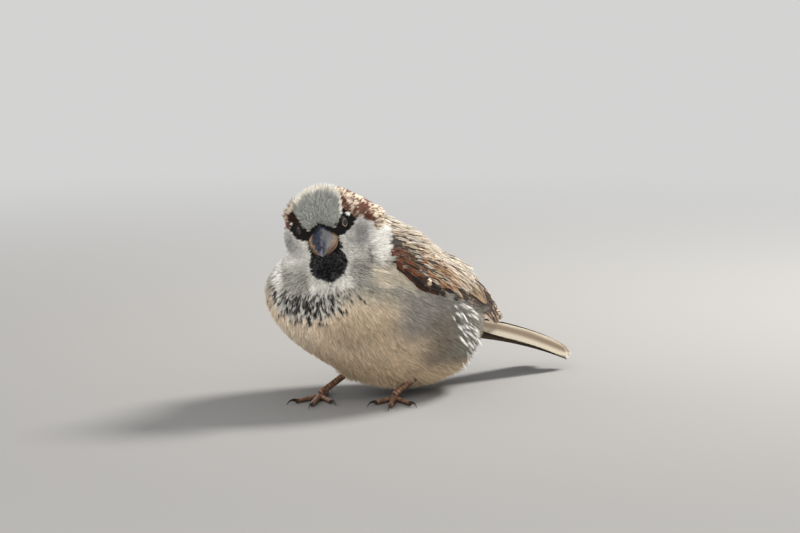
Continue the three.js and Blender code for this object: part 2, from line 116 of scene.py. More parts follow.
SECONDARY_EDGE = srgb(160, 136, 106)
PRIMARY_EDGE = srgb(222, 196, 172)
FLIGHT_BROWN = srgb(62, 47, 37)
TAIL_EDGE = srgb(172, 162, 144)
TAIL_BROWN = srgb(108, 92, 74)
BILL_SLATE = srgb(26, 30, 40)
BILL_OCHRE = srgb(132, 102, 72)
BILL_PALE = srgb(112, 112, 122)
BILL_TAN = srgb(112, 86, 68)
EYE_BROWN = srgb(64, 38, 24)
LID_BEIGE = srgb(160, 140, 118)
LID_BROWN = srgb(96, 76, 62)
LEG_BROWN = srgb(82, 60, 48)
LEG_PALE = srgb(166, 128, 102)
LEG_DARK = srgb(46, 32, 26)
CLAW_DARK = srgb(36, 27, 24)
CLAW_PALE = srgb(96, 76, 62)

# ---- Arrays -------------------------------------------------------------------------------------


def distance(vectors):
    return np.linalg.norm(vectors, axis=-1)


def unit(vectors):
    return vectors / np.maximum(distance(vectors)[..., None], 1e-9)


def dot(a, b):
    return (a * b).sum(-1, keepdims=True)


def along_surface(way, normals):
    """What of a direction lies along a surface, as unit vectors."""
    return unit(way - normals * dot(way, normals))


def smoothstep(value, low, high):
    """From 0 at `low` to 1 at `high`, with soft ends. `high` may be the smaller of the two."""
    share = np.clip((value - low) / (high - low), 0, 1)
    return share * share * (3 - 2 * share)


def mix(a, b, share):
    return a + (b - a) * share


def blend(a, b, share):
    """Between two colours or places, by a share for each."""
    return mix(a, b, np.asarray(share)[..., None])


def follow(line, position):
    """The value at each position on a line of (position, value) points."""
    return np.interp(position, *np.transpose(line))


def wide(values):
    """Values for each feather, in the shape of values for each feather, barb and step."""
    return values[:, None, None]


def down(count, low=0, high=1):
    """Evenly spaced values in a column."""
    return np.linspace(low, high, count)[:, None]


def around(sides):
    """The angles of a ring's points, in a row."""
    return np.linspace(0, 2 * math.pi, sides, endpoint=False)[None]


def another(chance, factor=7.31):
    """A second random number for each feather, out of its first one."""
    return np.modf(chance * factor)[0]


def curve_noise(points, scale, seed):
    """Soft noise from -1 to 1 over places: a few waves in fixed directions."""
    local = np.random.default_rng(seed)
    ways = unit(local.normal(size=(7, 3)))
    lengths = scale * local.uniform(0.6, 1.7, 7)
    phases = local.uniform(0, 2 * math.pi, 7)
    waves = np.sin(points @ (ways / lengths[:, None]).T * 2 * math.pi + phases)
    return waves.sum(-1) / 3.2


# ---- The head's frame ---------------------------------------------------------------------------


def turned(degrees, axis):
    return Matrix.Rotation(math.radians(degrees), 3, axis)


def centre_of(node):
    low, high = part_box(node)
    return np.array((low + high) / 2) / MM


HEAD_AXES = np.array(turned(HEAD_TURN, "Z") @ turned(HEAD_NOD, "X") @ turned(HEAD_LEAN, "Y"))
BETWEEN_EYES = (centre_of("eye_left") + centre_of("eye_right")) / 2
HEAD_ORIGIN = BETWEEN_EYES - HEAD_AXES @ (EYE_PLACE * [0, 1, 1])
HEAD_PLACE = np.array([4.6, -24.7, 56.1])  # the head's origin in the frame that the wing and tail use
SHIFT = HEAD_ORIGIN - HEAD_PLACE  # the part was moved by this to stand over the origin


def to_head(points):
    return (points - HEAD_ORIGIN) @ HEAD_AXES


def from_head(points):
    return points @ HEAD_AXES.T + HEAD_ORIGIN


def from_face(points):
    return distance(to_head(points) - FACE_CENTRE)


# ---- Meshes -------------------------------------------------------------------------------------


def mesh_object(name, points, triangles, colours=None, bake=None):
    """A new smooth mesh in the scene. `colours` and `bake`, the places on OFBake, are for each point."""
    mesh = bpy.data.meshes.new(name)
    mesh.vertices.add(len(points))
    mesh.vertices.foreach_set("co", (points * MM).astype(np.float32).ravel())
    mesh.loops.add(triangles.size)
    mesh.loops.foreach_set("vertex_index", triangles.astype(np.int32).ravel())
    mesh.polygons.add(len(triangles))
    mesh.polygons.foreach_set("loop_start", np.arange(0, triangles.size, 3, dtype=np.int32))
    mesh.update(calc_edges=True)
    mesh.polygons.foreach_set("use_smooth", np.ones(len(triangles), bool))
    if colours is not None:
        layer = mesh.color_attributes.new("plumage", "FLOAT_COLOR", "POINT")
        rgba = np.c_[np.clip(colours, 0, 1), np.ones(len(points))]
        layer.data.foreach_set("color", rgba.astype(np.float32).ravel())
    if bake is not None:
        layer = mesh.uv_layers.new(name="OFBake")
        layer.data.foreach_set("uv", bake[triangles.ravel()].astype(np.float32).ravel())
    made = bpy.data.objects.new(name, mesh)
    bpy.context.scene.collection.objects.link(made)
    return made


def triangles_of(obj):
    """Points in millimetres and triangles of an object's final mesh."""
    shape = obj.evaluated_get(bpy.context.evaluated_depsgraph_get()).to_mesh()
    shape.calc_loop_triangles()
    points = np.zeros(len(shape.vertices) * 3, np.float32)
    shape.vertices.foreach_get("co", points)
    corners = np.zeros(len(shape.loop_triangles) * 3, np.int32)
    shape.loop_triangles.foreach_get("vertices", corners)
    return points.reshape(-1, 3).astype(float) / MM, corners.reshape(-1, 3)


def joined(parts):
    """Several (points, triangles, ...) as one, the other arrays joined as they are."""
    starts = np.cumsum([0] + [len(part[0]) for part in parts[:-1]])
    triangles = np.concatenate([part[1] + start for part, start in zip(parts, starts)])
    others = [np.concatenate(column) for column in list(zip(*parts))[2:]]
    return (np.concatenate([part[0] for part in parts]), triangles, *others)


def point_normals(points, triangles):
    a, b, c = (points[triangles[:, k]] for k in range(3))
    faces = np.cross(b - a, c - a)
    total = np.zeros_like(points)
    for k in range(3):
        for axis in range(3):
            total[:, axis] += np.bincount(triangles[:, k], faces[:, axis], len(points))
    return unit(total)


def relaxed(points, triangles, rounds, share):
    """Each point drawn towards the mean of its neighbours; `share` may differ from point to point."""
    start = np.concatenate([triangles[:, k] for k in (0, 1, 2)])
    end = np.concatenate([triangles[:, k] for k in (1, 2, 0)])
    start, end = np.concatenate([start, end]), np.concatenate([end, start])
    count = np.bincount(start, minlength=len(points))[:, None]
    for _ in range(rounds):
        total = np.stack([np.bincount(start, column[end], len(points)) for column in points.T], 1)
        points = points + (total / count - points) * share
    return points


def largest_body(points, triangles):
    """Of the separate bodies of a mesh, the one with the most points."""
    label = np.arange(len(points))
    while True:
        lowest = label[triangles].min(1)
        new = label.copy()
        for k in range(3):
            np.minimum.at(new, triangles[:, k], lowest)
        new = new[new]
        if (new == label).all():
            break
        label = new
    keep = label[triangles[:, 0]] == np.bincount(label).argmax()
    used = np.unique(triangles[keep])
    place = np.zeros(len(points), int)
    place[used] = np.arange(len(used))
    return points[used], place[triangles[keep]]


class Surface:
    """A triangle mesh that answers which of its points is nearest."""

    def __init__(self, points, triangles):
        self.points, self.triangles = points, triangles
        self.normals = point_normals(points, triangles)
        self.centres = points[triangles].mean(1)
        self.tree = BVHTree.FromPolygons(points.tolist(), triangles.tolist())

    def nearest(self, places):
        """The nearest points, the smooth normals there, and the triangles that they lie on."""
        found = [self.tree.find_nearest(place)[:3] for place in places.tolist()]
        on = np.array([f[0][:] for f in found])
        faces = np.array([f[2] for f in found])
        weights = 1 / (0.05 + distance(self.points[self.triangles[faces]] - on[:, None]))
        return on, unit(self.at(self.normals, faces, weights)), faces

    def gap(self, places):
        """How far the surface is from each place."""
        return distance(self.nearest(places)[0] - places)

    def at(self, values, faces, weights):
        """Values of the mesh's points, worked out for places given by their triangle and weights."""
        corners = values[self.triangles[faces]]
        return (corners * weights.reshape(len(weights), 3, *[1] * (corners.ndim - 2))).sum(1)


def tube_triangles(rings, sides):
    """Triangles of rings of points joined into a tube, closed at both ends."""
    row, column = np.meshgrid(np.arange(rings - 1), np.arange(sides), indexing="ij")
    a, b = row * sides + column, row * sides + (column + 1) % sides
    walls = np.concatenate([np.stack([a, a + sides, b], -1), np.stack([b, a + sides, b + sides], -1)])
    fan_row = np.arange(1, sides - 1)
    first = np.stack([0 * fan_row, fan_row, fan_row + 1], 1)
    last = np.stack([0 * fan_row, fan_row + 1, fan_row], 1) + (rings - 1) * sides
    return np.concatenate([walls.reshape(-1, 3), first, last])


def grid_triangles(count, rows, columns):
    """Triangles of `count` grids of points, row after row."""
    first = (np.arange(rows - 1)[:, None] * columns + np.arange(columns - 1)).reshape(-1)
    near = np.stack([first, first + columns, first + 1], 1)
    far = np.stack([first + 1, first + columns, first + columns + 1], 1)
    return wide(np.arange(count)) * rows * columns + np.concatenate([near, far])


def ringed(line, radius, angle, aside, above, flat=1.0):
    """Rings of points round a line. `flat` is how wide a ring is for its height."""
    points = line + (radius * flat * np.cos(angle))[..., None] * aside
    return points + (radius * np.sin(angle))[..., None] * above


def tube(points, shade, place=np.asarray):
    """Rings of points with their colours as a closed tube, put in its place by `place`."""
    rings, sides = points.shape[:2]
    return place(points.reshape(-1, 3)), tube_triangles(rings, sides), shade.reshape(-1, 3)


def ball(centre, radii):
    """An ellipsoid's points and triangles."""
    polar, angle = down(16, 0.01, math.pi - 0.01), around(24)
    shape = [np.sin(polar) * np.cos(angle), np.sin(polar) * np.sin(angle), np.cos(polar) + 0 * angle]
    return np.stack(shape, -1).reshape(-1, 3) * radii + centre, tube_triangles(16, 24)


# ---- Skin ---------------------------------------------------------------------------------------

FLESH = ["head", "neck", "trunk", "rump", "thigh_left", "thigh_right"]
WINGS = [f"wing_{side}_{part}" for side in ("left", "right")
         for part in ("coverts", "tertials", "primaries")]


def packed(names, fills=()):
    """Points and triangles of several of the frame's nodes, and of `fills`, as one."""
    return joined([triangles_of(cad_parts[name]) for name in names] + list(fills))


def coat_depth(points):
    """How deep the coat is, from the skin to the tips of the feathers."""
    far = from_face(points)
    depth = mix(FACE_DEPTH, NECK_DEPTH, smoothstep(far, 4, 13))
    return mix(depth, BODY_DEPTH, smoothstep(far, 15, 26))


def remeshed(names):
    """One closed surface round several nodes, with the hollows for tail, bill and eyes filled."""
    tail_root, in_tail = ball(np.array([0, 38, 17.5]) + SHIFT, [7, 10, 8])
    bill_root, in_root = ball(np.array([0, -6.5, -2.2]), [3.9, 3.2, 3.6])
    fills = [(tail_root, in_tail), (from_head(bill_root), in_root)]
    fills += [ball(from_head(EYE_PLACE * [side, 1, 1]), [2.45] * 3) for side in (1, -1)]
    source = mesh_object("source", *packed(names, fills))
    remesh = source.modifiers.new("voxels", "REMESH")
    remesh.mode = "VOXEL"
    remesh.voxel_size = SKIN_VOXEL * MM
    points, triangles = largest_body(*triangles_of(source))
    bpy.data.objects.remove(source)
    return points, triangles


def make_skin():
    """The bare body, its lumps under the wings evened out, as deep in the flesh as the coat needs."""
    points, triangles = remeshed(FLESH)
    near_wing = smoothstep(cad_wings.gap(points), 2.5, 0.5)
    points = relaxed(points, triangles, 14, 0.5)
    points = relaxed(points, triangles, 40, near_wing[:, None] * 0.6)
    points = points - point_normals(points, triangles) * coat_depth(points)[:, None]
    return relaxed(points, triangles, 3, 0.4), triangles


def make_outline(names, rounds):
    """The bird out to the tips of its feathers."""
    points, triangles = remeshed(names)
    return relaxed(points, triangles, rounds, 0.5), triangles


def room_over_skin():
    """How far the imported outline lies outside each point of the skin, evened out."""
    wanted = coat_depth(skin.points)
    room = np.clip(flesh_outline.gap(skin.points), 0.5 * wanted, 1.8 * wanted)
    return relaxed(np.repeat(room[:, None], 3, 1), skin.triangles, 6, 0.6)[:, 0]


cad_wings = Surface(*packed(WINGS))
skin = Surface(*make_skin())
outline = Surface(*make_outline(FLESH + WINGS, 8))
flesh_outline = Surface(*make_outline(FLESH, 2))
skin_room = room_over_skin()

# ---- The lie of the coat ------------------------------------------------------------------------

FROM_BILL = from_head(np.array([0.0, -9.5, -1.0]))
TO_TAIL = np.array([0.0, 34.0, 13.0])
TUFT_WAY = np.array([0, 0.66, -0.75])


def flow_at(points, normals):
    """The way the feathers point: away from the bill, round the body and in towards the tail."""
    away, towards = points - FROM_BILL, TO_TAIL - points
    return along_surface(unit(away / dot(away, away) + towards / dot(towards, towards)), normals)


def tuft_flow(points, normals):
    return along_surface(TUFT_WAY, normals)


def mantle_flow(points, normals):
    """Back, and on the sides of the back down as well."""
    aside = np.clip(points[:, :1] / 14, -1, 1)
    way = np.array([0, 0.85, -0.42]) + aside * [0.22, 0, 0] + np.abs(aside) * [0, -0.12, -0.24]
    return along_surface(way, normals)


# ---- Markings -----------------------------------------------------------------------------------

# Outlines on the head, as (position, value) points in its frame.
ARC_HEIGHT = [(8.5, 0.8), (10.9, 1.4), (12.5, 1.2), (14, 0.0), (15, -1.8), (15.8, -3.8)]  # behind the ear
ARC_HALF_WIDTH = [(9.6, 1.2), (11, 1.5), (14, 1.3), (15.8, 0.8)]
CROWN_HALF_WIDTH = [(-9, 2.8), (-8.4, 3.9), (-7, 5.7), (-4, 7.4), (-2, 7.8), (1, 7.9), (4, 7.2), (12, 5.0)]
CROWN_MIDDLE = [(-8, 0), (-4, -0.4), (1, -0.8)]
MASK_BOTTOM = [(-10, -2.8), (-8, -2.6), (-7.4, -2.5), (-4.7, -1.8), (-1.2, 0.0)]
MASK_TOP = [(-10, 0.6), (-6.9, 1.3), (-4.7, 2.8), (-3, 3.0), (-1.6, 2.5), (-1.0, 0.3)]
MASK_TOP_RIGHT = [(-10, 0.4), (-7.3, 0.8), (-3.7, 2.2), (-1.6, 1.8), (-1.0, 0.3)]
FOREHEAD = [(0, 2.9), (1.4, 1.9), (2.0, 1.5), (3.8, 0.3), (4.4, -0.2)]
BIB_HALF_WIDTH = [(-15, 0), (-14.4, 1.6), (-13.3, 4.3), (-12, 5.5), (-10.5, 5.9), (-8.5, 5.2), (-6.6, 4.4)]


class Look:
    """What feathers look like, one row for each: the colours of the body, of a streak down the middle
    and of the fringe, the streak's half width as a share of the feather's, and where along the feather
    the fringe begins (1 is no fringe)."""

    def __init__(self, count, colour):
        self.body = np.ones((count, 1)) * colour
        self.streak = self.body.copy()
        self.fringe = self.body.copy()
        self.width = np.zeros(count)
        self.start = np.full(count, 0.85)

    def paint(self, where, **values):
        """Changes what is named by `values`, wholly where `where` is 1 and not at all where it is 0."""
        share = np.asarray(where, float)
        for name, value in values.items():
            old = getattr(self, name)
            setattr(self, name, blend(old, value, share) if old.ndim == 2 else mix(old, value, share))

    def plain(self, where, colour, brighter=1.12):
        """One colour with a slightly paler fringe and no streak."""
        self.paint(where, body=colour, streak=colour, fringe=colour * brighter, width=0, start=0.85)


def plumage(points, chance):
    """The look of the feathers whose tips lie at each place. `chance` is a random number for each
    feather, which makes the edges of the markings ragged."""
    look = Look(len(points), BREAST_GREY)
    other = another(chance)
    rough = curve_noise(points, 2.2, 5) * 0.5 + (chance - 0.5) * 1.1
    paint_trunk(look, *points.T, chance, other, rough)
    paint_head(look, points, chance, other, rough)
    return look


def paint_trunk(look, x, y, z, chance, other, rough):
    tone = 0.8 + 0.4 * other[:, None]

    # Grey-white breast, buff belly, tan beside the breast's middle, greyer flanks.
    colour = blend(BREAST_GREY, BELLY_BUFF, smoothstep(z + rough, 40, 28))
    colour = blend(colour, BELLY_PINK, smoothstep(y + x * 0.3, -46, -54) * smoothstep(z, 32, 24))
    colour = blend(colour, BELLY_PALE, smoothstep(z, 20, 9))
    tan = np.hypot((x - 18) / 9, (z - 24) / 8) + 0.15 * rough
    colour = blend(colour, BREAST_TAN, smoothstep(tan, 1.5, 0.1) * 0.7)
    flank = smoothstep(np.abs(x), 19, 24) * smoothstep(y, -40, -28) * smoothstep(z, 17, 25)
    colour = blend(colour, FLANK_GREY, 0.9 * flank)
    shoulder = np.hypot((y + 37) / 6, (z - 41) / 4) + 0.15 * rough
    colour = blend(colour, SHOULDER_CREAM, smoothstep(shoulder, 1.2, 0.6) * smoothstep(x, 13, 17))
    low_flank = smoothstep(y + 0.5 * np.abs(x), -16, -4) * smoothstep(z, 30, 26) * smoothstep(z, 6, 14)
    colour = blend(colour, FLANK_GREY * [0.8, 0.7, 0.6], 0.85 * low_flank)
    colour = blend(colour, RUMP_GREY, smoothstep(y, -2, 8) * smoothstep(z, 24, 32))
    look.plain(1, colour * tone)
    look.paint(chance > 0.45, streak=colour * 0.5, width=0.22)

    # Brown feathers under the tail, pale at their edges.
    under_tail = smoothstep(y + 0.3 * np.abs(x), 12, 17) * smoothstep(z, 26, 22)
    look.paint(under_tail, body=UNDER_TAIL * tone, streak=FLIGHT_BROWN, fringe=UNDER_TAIL * 1.3, width=0.3)

    # The white tips on the rear of the flank.
    rear = smoothstep(y - 0.25 * (31 - z), -16, -12) * smoothstep(np.abs(x), 8, 13)
    rear = rear * smoothstep(z, 9, 14) * smoothstep(z, 34, 31)
    look.paint(rear * (other > 0.25), fringe=BREAST_GREY * tone, body=FLANK_GREY * 0.6, start=0.55)

    # Mottling below the bib: grey-white feathers, many of them with black middles.
    spot = 1 - np.hypot((x - 5) / 13, (z - 34.6) / 7.4)
    mottle = smoothstep(spot + rough * 0.2, -0.1, 0.3) * (y < -40)
    look.paint(mottle, body=MOTTLE_GREY * tone, fringe=NECK_WHITE * 0.85, width=0)
    inky = (spot + rough * 0.35 > 0.0) & (y < -40) & (other < 0.42 + 0.4 * spot)
    look.paint(inky, streak=BIB_BLACK, body=MOTTLE_GREY * 0.8, fringe=BIB_BLACK, width=0.42, start=0.9)


def paint_head(look, points, chance, other, rough):
    head = to_head(points)
    x, back, up = head.T
    side = np.abs(x)
    on_head = smoothstep(distance(head - [0, 2, -2]), 24, 20)
    tone = 0.84 + 0.32 * other[:, None]

    # Cheek: white with a blue-grey middle, streaked below, and a bright band down the side of the neck.
    below = smoothstep(up, -9, -13) * smoothstep(side, 6, 8)
    colour = blend(CHEEK_WHITE, MOTTLE_GREY * 1.1, below)
    middle = smoothstep(np.hypot((side - 11.4) / 4.4, (up + 4.3) / 5.2) + 0.25 * rough, 1.5, 0.0)
    colour = blend(colour, CHEEK_GREY, middle * 0.78)
    band = smoothstep(side + 0.3 * rough, 14.9, 15.9) * smoothstep(up, 1, -2)
    colour = blend(colour, NECK_WHITE, band)
    look.plain(on_head, colour * tone)
    look.paint(on_head * (chance > 0.55), streak=colour * 0.55, width=0.25)
    look.paint(on_head * below * (chance > 0.45), streak=CHEEK_GREY * 0.3, width=0.3)
    look.paint(on_head * band, fringe=FLANK_TIP_WHITE, start=0.7)

    # Chestnut with buff tips over the side and rear of the head.
    arc = follow(ARC_HEIGHT, side)
    arc = arc - 6 * smoothstep(back, 2, 6) * (x < 0)  # the nape is brown down to the mantle
    over = follow(CROWN_HALF_WIDTH, back) - np.abs(x - follow(CROWN_MIDDLE, back)) + rough * 0.25
    brown = on_head * (up > arc - 1.4 + 0.5 * rough) * (back > -2.4)
    shade = CHESTNUT * (0.55 + 0.9 * other[:, None])
    buff_tip = NAPE_BUFF * (0.75 + 0.35 * other[:, None])
    look.paint(brown, body=shade, fringe=buff_tip, streak=shade, width=0, start=0.35 + 0.4 * chance)
    speckled = chance > 0.3 - 0.24 * smoothstep(back, 2.5, 5)
    look.paint(brown * smoothstep(back, 1, 3) * speckled, fringe=buff_tip * 1.05, start=0.12)
    look.paint(brown * (chance > 0.8), fringe=shade * 1.2, start=0.85)
    look.paint(brown * (other > 0.6), streak=CHESTNUT * 0.7, width=0.3)

    # The plain chestnut: beside the crown, an arc down behind the ear, and the bird's right side, where it
    # is painted darker, with black streaks, as painted shade.
    beside = (over > -2.1) & (up > 2.4) & (back < 2.5 + rough)
    behind_ear = (np.abs(up - arc) < follow(ARC_HALF_WIDTH, side)) & (side < 16)
    right_side = (x < 0) & (side < 10.5)
    rich = brown * (beside | behind_ear | right_side) * (chance < 0.74)
    look.paint(rich, body=shade, fringe=blend(shade * 1.3, buff_tip, 0.15), start=0.85)
    # Painted shade: the bird's right side darker, with black streaks and dim grey tips.
    look.paint(rich * right_side, body=shade * 0.5, streak=MASK_BLACK, width=0.4, fringe=CROWN_GREY * 0.6)
    rim = brown * right_side * smoothstep(side, 8.2, 9.0) * (other > 0.4)
    look.paint(rim, fringe=NAPE_BUFF * 1.1, start=0.4)
    brow = on_head * (up > 0) * (over <= 0)
    look.plain(brow * (x > 4.5) * (back <= -2), MASK_BLACK, 1.3)
    right_brow = brow * (x < -5) * (up > 0.5) * (back <= -1)
    look.paint(right_brow, body=shade * 0.2, fringe=shade * 0.4, streak=MASK_BLACK, width=0.5, start=0.8)

    # Black from the bill through the eye and behind it, round the root of the bill, and the bib.
    highest = np.where(x < 0, follow(MASK_TOP_RIGHT, back), follow(MASK_TOP, back))
    mask = (up > follow(MASK_BOTTOM, back) - rough * 0.3) & (up < highest + rough * 0.2)
    mask = mask & (back < -1.0 + rough * 0.4) & (side > 2.2)
    roof = follow(FOREHEAD, side) + 0.4 * (x < 0)
    root = (side < 5.3) & (up < roof + 0.15 * rough) & (up > -6.8) & (back < -5.5)
    bib = (side < follow(BIB_HALF_WIDTH, up) + 0.3 * rough) & (up < -5) & (back < 1)
    black = on_head * (mask | root | bib)
    look.plain(black, MASK_BLACK, 1.3)
    look.paint(black * bib * (up < -7.5) * (chance > 0.6), fringe=CHEEK_GREY * 1.1, start=0.84)

    # Grey crown. Its rear half is frosted with pale fringes, brightened as a painted highlight where the
    # light falls on the top of the head; a painted highlight runs along its edge beside the chestnut.
    crown = on_head * (over > 0) * (up > np.where(back < -5.5, roof + 0.15 * rough, 0.5))
    grey = CROWN_GREY * (0.66 + 0.6 * other[:, None])
    look.paint(crown, body=grey, fringe=grey * 1.3, streak=grey * 0.5, width=0.25 * (chance > 0.5),
               start=0.8)
    frost_and_highlight = crown * smoothstep(back + rough, -0.8, 1.2) * (chance > 0.2 + 0.7 * smoothstep(back, 3, 6))
    look.paint(frost_and_highlight, fringe=CROWN_FROST_AND_HIGHLIGHT, start=0.4, body=grey * 1.3)
    painted_highlight_edge = crown * (over < 0.7) * (back > -4.4) * (back < 6) * (x > -3)
    look.paint(painted_highlight_edge, fringe=CROWN_FROST_AND_HIGHLIGHT * 1.1, start=0.45)

    # White spots over and behind the eye.
    spot = (np.hypot(back + 2.6, up - 2.5) < 0.7) & (side > 6.4)
    look.plain(on_head * spot, FLANK_TIP_WHITE, 1.0)


# ---- Coat ---------------------------------------------------------------------------------------

STEPS = np.array([0.0, 0.35, 0.7, 1.0])  # where along a feather its line is worked out
TUFT_PATCH = 0.003  # how large a feather's place on OFBake is
COAT_PIECE_LIMIT = 190_000  # triangles
LOOK = unit(np.array([0.86, -0.5, 0.05]))  # the way the left eye looks, in the head's frame
LOOKS = [HEAD_AXES @ (LOOK * [side, 1, 1]) for side in (1, -1)]
EYES = [from_head((EYE_PLACE - EYE_SINK * LOOK) * [side, 1, 1]) for side in (1, -1)]


def unwrap_skin():
    """The skin's object, with its unwrap as OFBake."""
    bare = plumage(skin.points + skin.normals * skin_room[:, None], np.full(len(skin.points), 0.5)).body
    made = mesh_object("skin", skin.points, skin.triangles, bare * 0.5)
    bpy.context.view_layer.objects.active = made
    made.select_set(True)
    made.data.uv_layers.new(name="OFBake")
    bpy.ops.object.mode_set(mode="EDIT")
    bpy.ops.mesh.select_all(action="SELECT")
    bpy.ops.uv.smart_project(angle_limit=math.radians(60), island_margin=0.004)
    bpy.ops.object.mode_set(mode="OBJECT")
    made.select_set(False)
    corners = np.zeros(len(made.data.loops) * 2, np.float32)
    made.data.uv_layers["OFBake"].data.foreach_get("uv", corners)
    return made, corners.reshape(-1, 3, 2)


def scatter(surface, per_mm2):
    """Random places on a surface: triangle, and weights of its corners. `per_mm2` is for each triangle."""
    a, b, c = (surface.points[surface.triangles[:, k]] for k in range(3))
    area = distance(np.cross(b - a, c - a)) / 2
    carried = np.cumsum(area * per_mm2) + rng.uniform()
    counts = np.diff(np.floor(carried), prepend=0).astype(int)
    faces = np.repeat(np.arange(len(area)), np.maximum(counts, 0))
    u, v = np.sqrt(rng.uniform(size=len(faces))), rng.uniform(size=len(faces))
    return faces, np.stack([1 - u, u * (1 - v), u * v], 1)


def spaced(surface, where, gap):
    """Places on a surface that keep `gap` millimetres between them, where `where` is true."""
    faces, weights = scatter(surface, np.where(where, 6 / gap**2, 0.0))
    points = surface.at(surface.points, faces, weights)
    kept = []
    for k in rng.permutation(len(faces)):
        if not kept or (((points[kept] - points[k]) ** 2).sum(1) > gap * gap).all():
            kept.append(k)
    return faces[kept], weights[kept]


def feather_lines(surface, root, normal, length, flow):
    """The lines that feathers follow over a surface: places, normals and ways at each of STEPS. Each
    step is turned by the flow where it starts."""
    places, normals, ways = [root], [normal], []
    swerve = rng.normal(0, 0.1, len(root))[:, None]
    for step in np.diff(STEPS):
        way = flow(places[-1], normals[-1])
        way = unit(way + np.cross(normals[-1], way) * swerve)
        ways.append(way)
        on, its_normal, _ = surface.nearest(places[-1] + way * (length * step)[:, None])
        places.append(on)
        normals.append(its_normal)
    ways.append(ways[-1])
    return [np.stack(rows, 1) for rows in (places, normals, ways)]


def clear_of_eyes(points):
    """Points in front of an eye, moved aside to the edge of its lids."""
    for eye, look in zip(EYES, LOOKS):
        out = points - eye
        ahead = dot(out, look)
        off = out - ahead * look
        push = np.maximum(LID_RADIUS - distance(off)[..., None], 0) * (ahead > 0)
        points = points + unit(off) * push
    return points


def barb_shades(marks, t, across, root):
    """Colours along the barbs: grey down at the root, darkened there as painted shade among the feathers,
    the body's colour, a streak down the feather's middle, and a fringe at its end. `t` runs from 0 at the
    root to 1 at the tip."""
    # Painted shade: the root is darker than the down's own grey.
    shade = blend(wide(DOWN_GREY * 0.3 + marks.body * 0.3), wide(marks.body), smoothstep(t, 0.1, 0.62))
    streaked = (np.abs(across) < wide(marks.width) * (1.1 - 0.4 * t)) & (t > 0.2) & (t < 0.95)
    shade = np.where(streaked[..., None], wide(marks.streak), shade)
    start = wide(marks.start)
    shade = blend(shade, wide(marks.fringe), smoothstep(t, start - 0.1, start + 0.06))
    shade = shade * rng.uniform(0.72, 1.2, (*t.shape[:2], 1, 1))
    return shade * wide(1 + 0.08 * curve_noise(root, 6, 3))[..., None]


def ribbon_triangles(count, segments):
    """Triangles of pointed ribbons: the left points of each, its right points, and its tip."""
    first = np.arange(segments - 1)
    ribbon = np.concatenate([
        np.stack([first, first + segments, first + 1], 1),
        np.stack([first + 1, first + segments, first + segments + 1], 1),
        [[segments - 1, 2 * segments - 1, 2 * segments]],
    ])
    return (wide(np.arange(count)) * (2 * segments + 1) + ribbon).reshape(-1, 3)


def grow(name, surface, places, length, half_width, barbs, depth, look, segments=2, lift=0.0, base=-0.15,
         flow=flow_at):
    """Feathers on a surface, each a fan of thin barbs that lies along the body. `places` is what `scatter`
    gives. The fan rises from `base` under the surface to `depth` over it, and its barbs stand up by
    `lift` more at most. `look(points, chance)` gives the colours."""
    faces, weights = places
    count = len(faces)
    root = surface.at(surface.points, faces, weights)
    if surface is skin:
        patch = (skin_unwrap[faces] * weights[..., None]).sum(1)
    else:
        patch = skin_unwrap[skin.nearest(root)[2]].mean(1)
    chance = rng.uniform(size=count)
    normal = unit(surface.at(surface.normals, faces, weights))
    line, up, way = feather_lines(surface, root, normal, length, flow)
    marks = look(line[:, 2] + up[:, 2] * depth[:, None], chance)

    # Barbs: their place across the feather, their own length and a little disorder.
    across = np.linspace(-1, 1, barbs)[None] + rng.normal(0, 0.5 / barbs, (count, barbs))
    reach = (1 - 0.32 * across**2) * rng.uniform(0.86, 1.06, (count, barbs))
    across, reach = across[..., None], reach[..., None]
    along = np.clip(reach * np.linspace(0, 1, segments + 1), 0, 1)
    lower = np.clip(np.searchsorted(STEPS, along, side="right") - 1, 0, 2)
    part = (along - STEPS[lower]) / (STEPS[lower + 1] - STEPS[lower])
    index = wide(np.arange(count))
    line, up, way = (blend(values[index, lower], values[index, lower + 1], part)
                     for values in (line, up, way))
    up = unit(up)
    sideways = unit(np.cross(up, unit(way)))
    top = wide(depth) * (0.75 + 0.25 * wide(chance))
    rise = base + (top - base) * along**0.65
    lift = wide(np.broadcast_to(lift, count))
    rise = rise + lift * (along**2) * rng.uniform(0, 1, (count, barbs, 1))
    rise = rise * (1 - 0.18 * across**2)
    spread = across * wide(half_width) * along**0.75
    middle = clear_of_eyes(line + sideways * spread[..., None] + up * rise[..., None])

    # Each barb is a flat ribbon that ends in a point, turned a little about its own line.
    tilt = rng.normal(0, 0.35, (count, barbs, 1, 1))
    edge = (sideways * np.cos(tilt) + up * np.sin(tilt))[:, :, :-1]
    width = BARB_WIDTH * wide(half_width / 1.3) ** 0.4 * rng.uniform(0.7, 1.2, (count, barbs, 1))
    width = (width * np.array([0.8] + [1.0] * (segments - 1)))[..., None]
    body, tip = middle[:, :, :-1], middle[:, :, -1:]
    points = np.concatenate([body - edge * width / 2, body + edge * width / 2, tip], 2)
    along = np.concatenate([along[:, :, :-1], along], 2)
    shade = barb_shades(marks, along / np.maximum(reach, 1e-6), across, root)
    bake = np.stack([np.broadcast_to(across * 0.5, along.shape), along - 0.5], -1)
    bake = wide(patch) + bake * TUFT_PATCH
    return mesh_object(name, points.reshape(-1, 3), ribbon_triangles(count * barbs, segments),
                       shade.reshape(-1, 3), bake.reshape(-1, 2))


def in_bill(centres):
    """Skin under the bill: a triangle under its upper half, and a box under the lower half."""
    side, back, up = to_head(centres).T
    roof = 4.3 * np.clip(1 - (up + 2.3) / 4.2, 0, 1) ** 0.85
    return (back < -7.0) & (np.abs(side) < roof) & (up > -6.1)


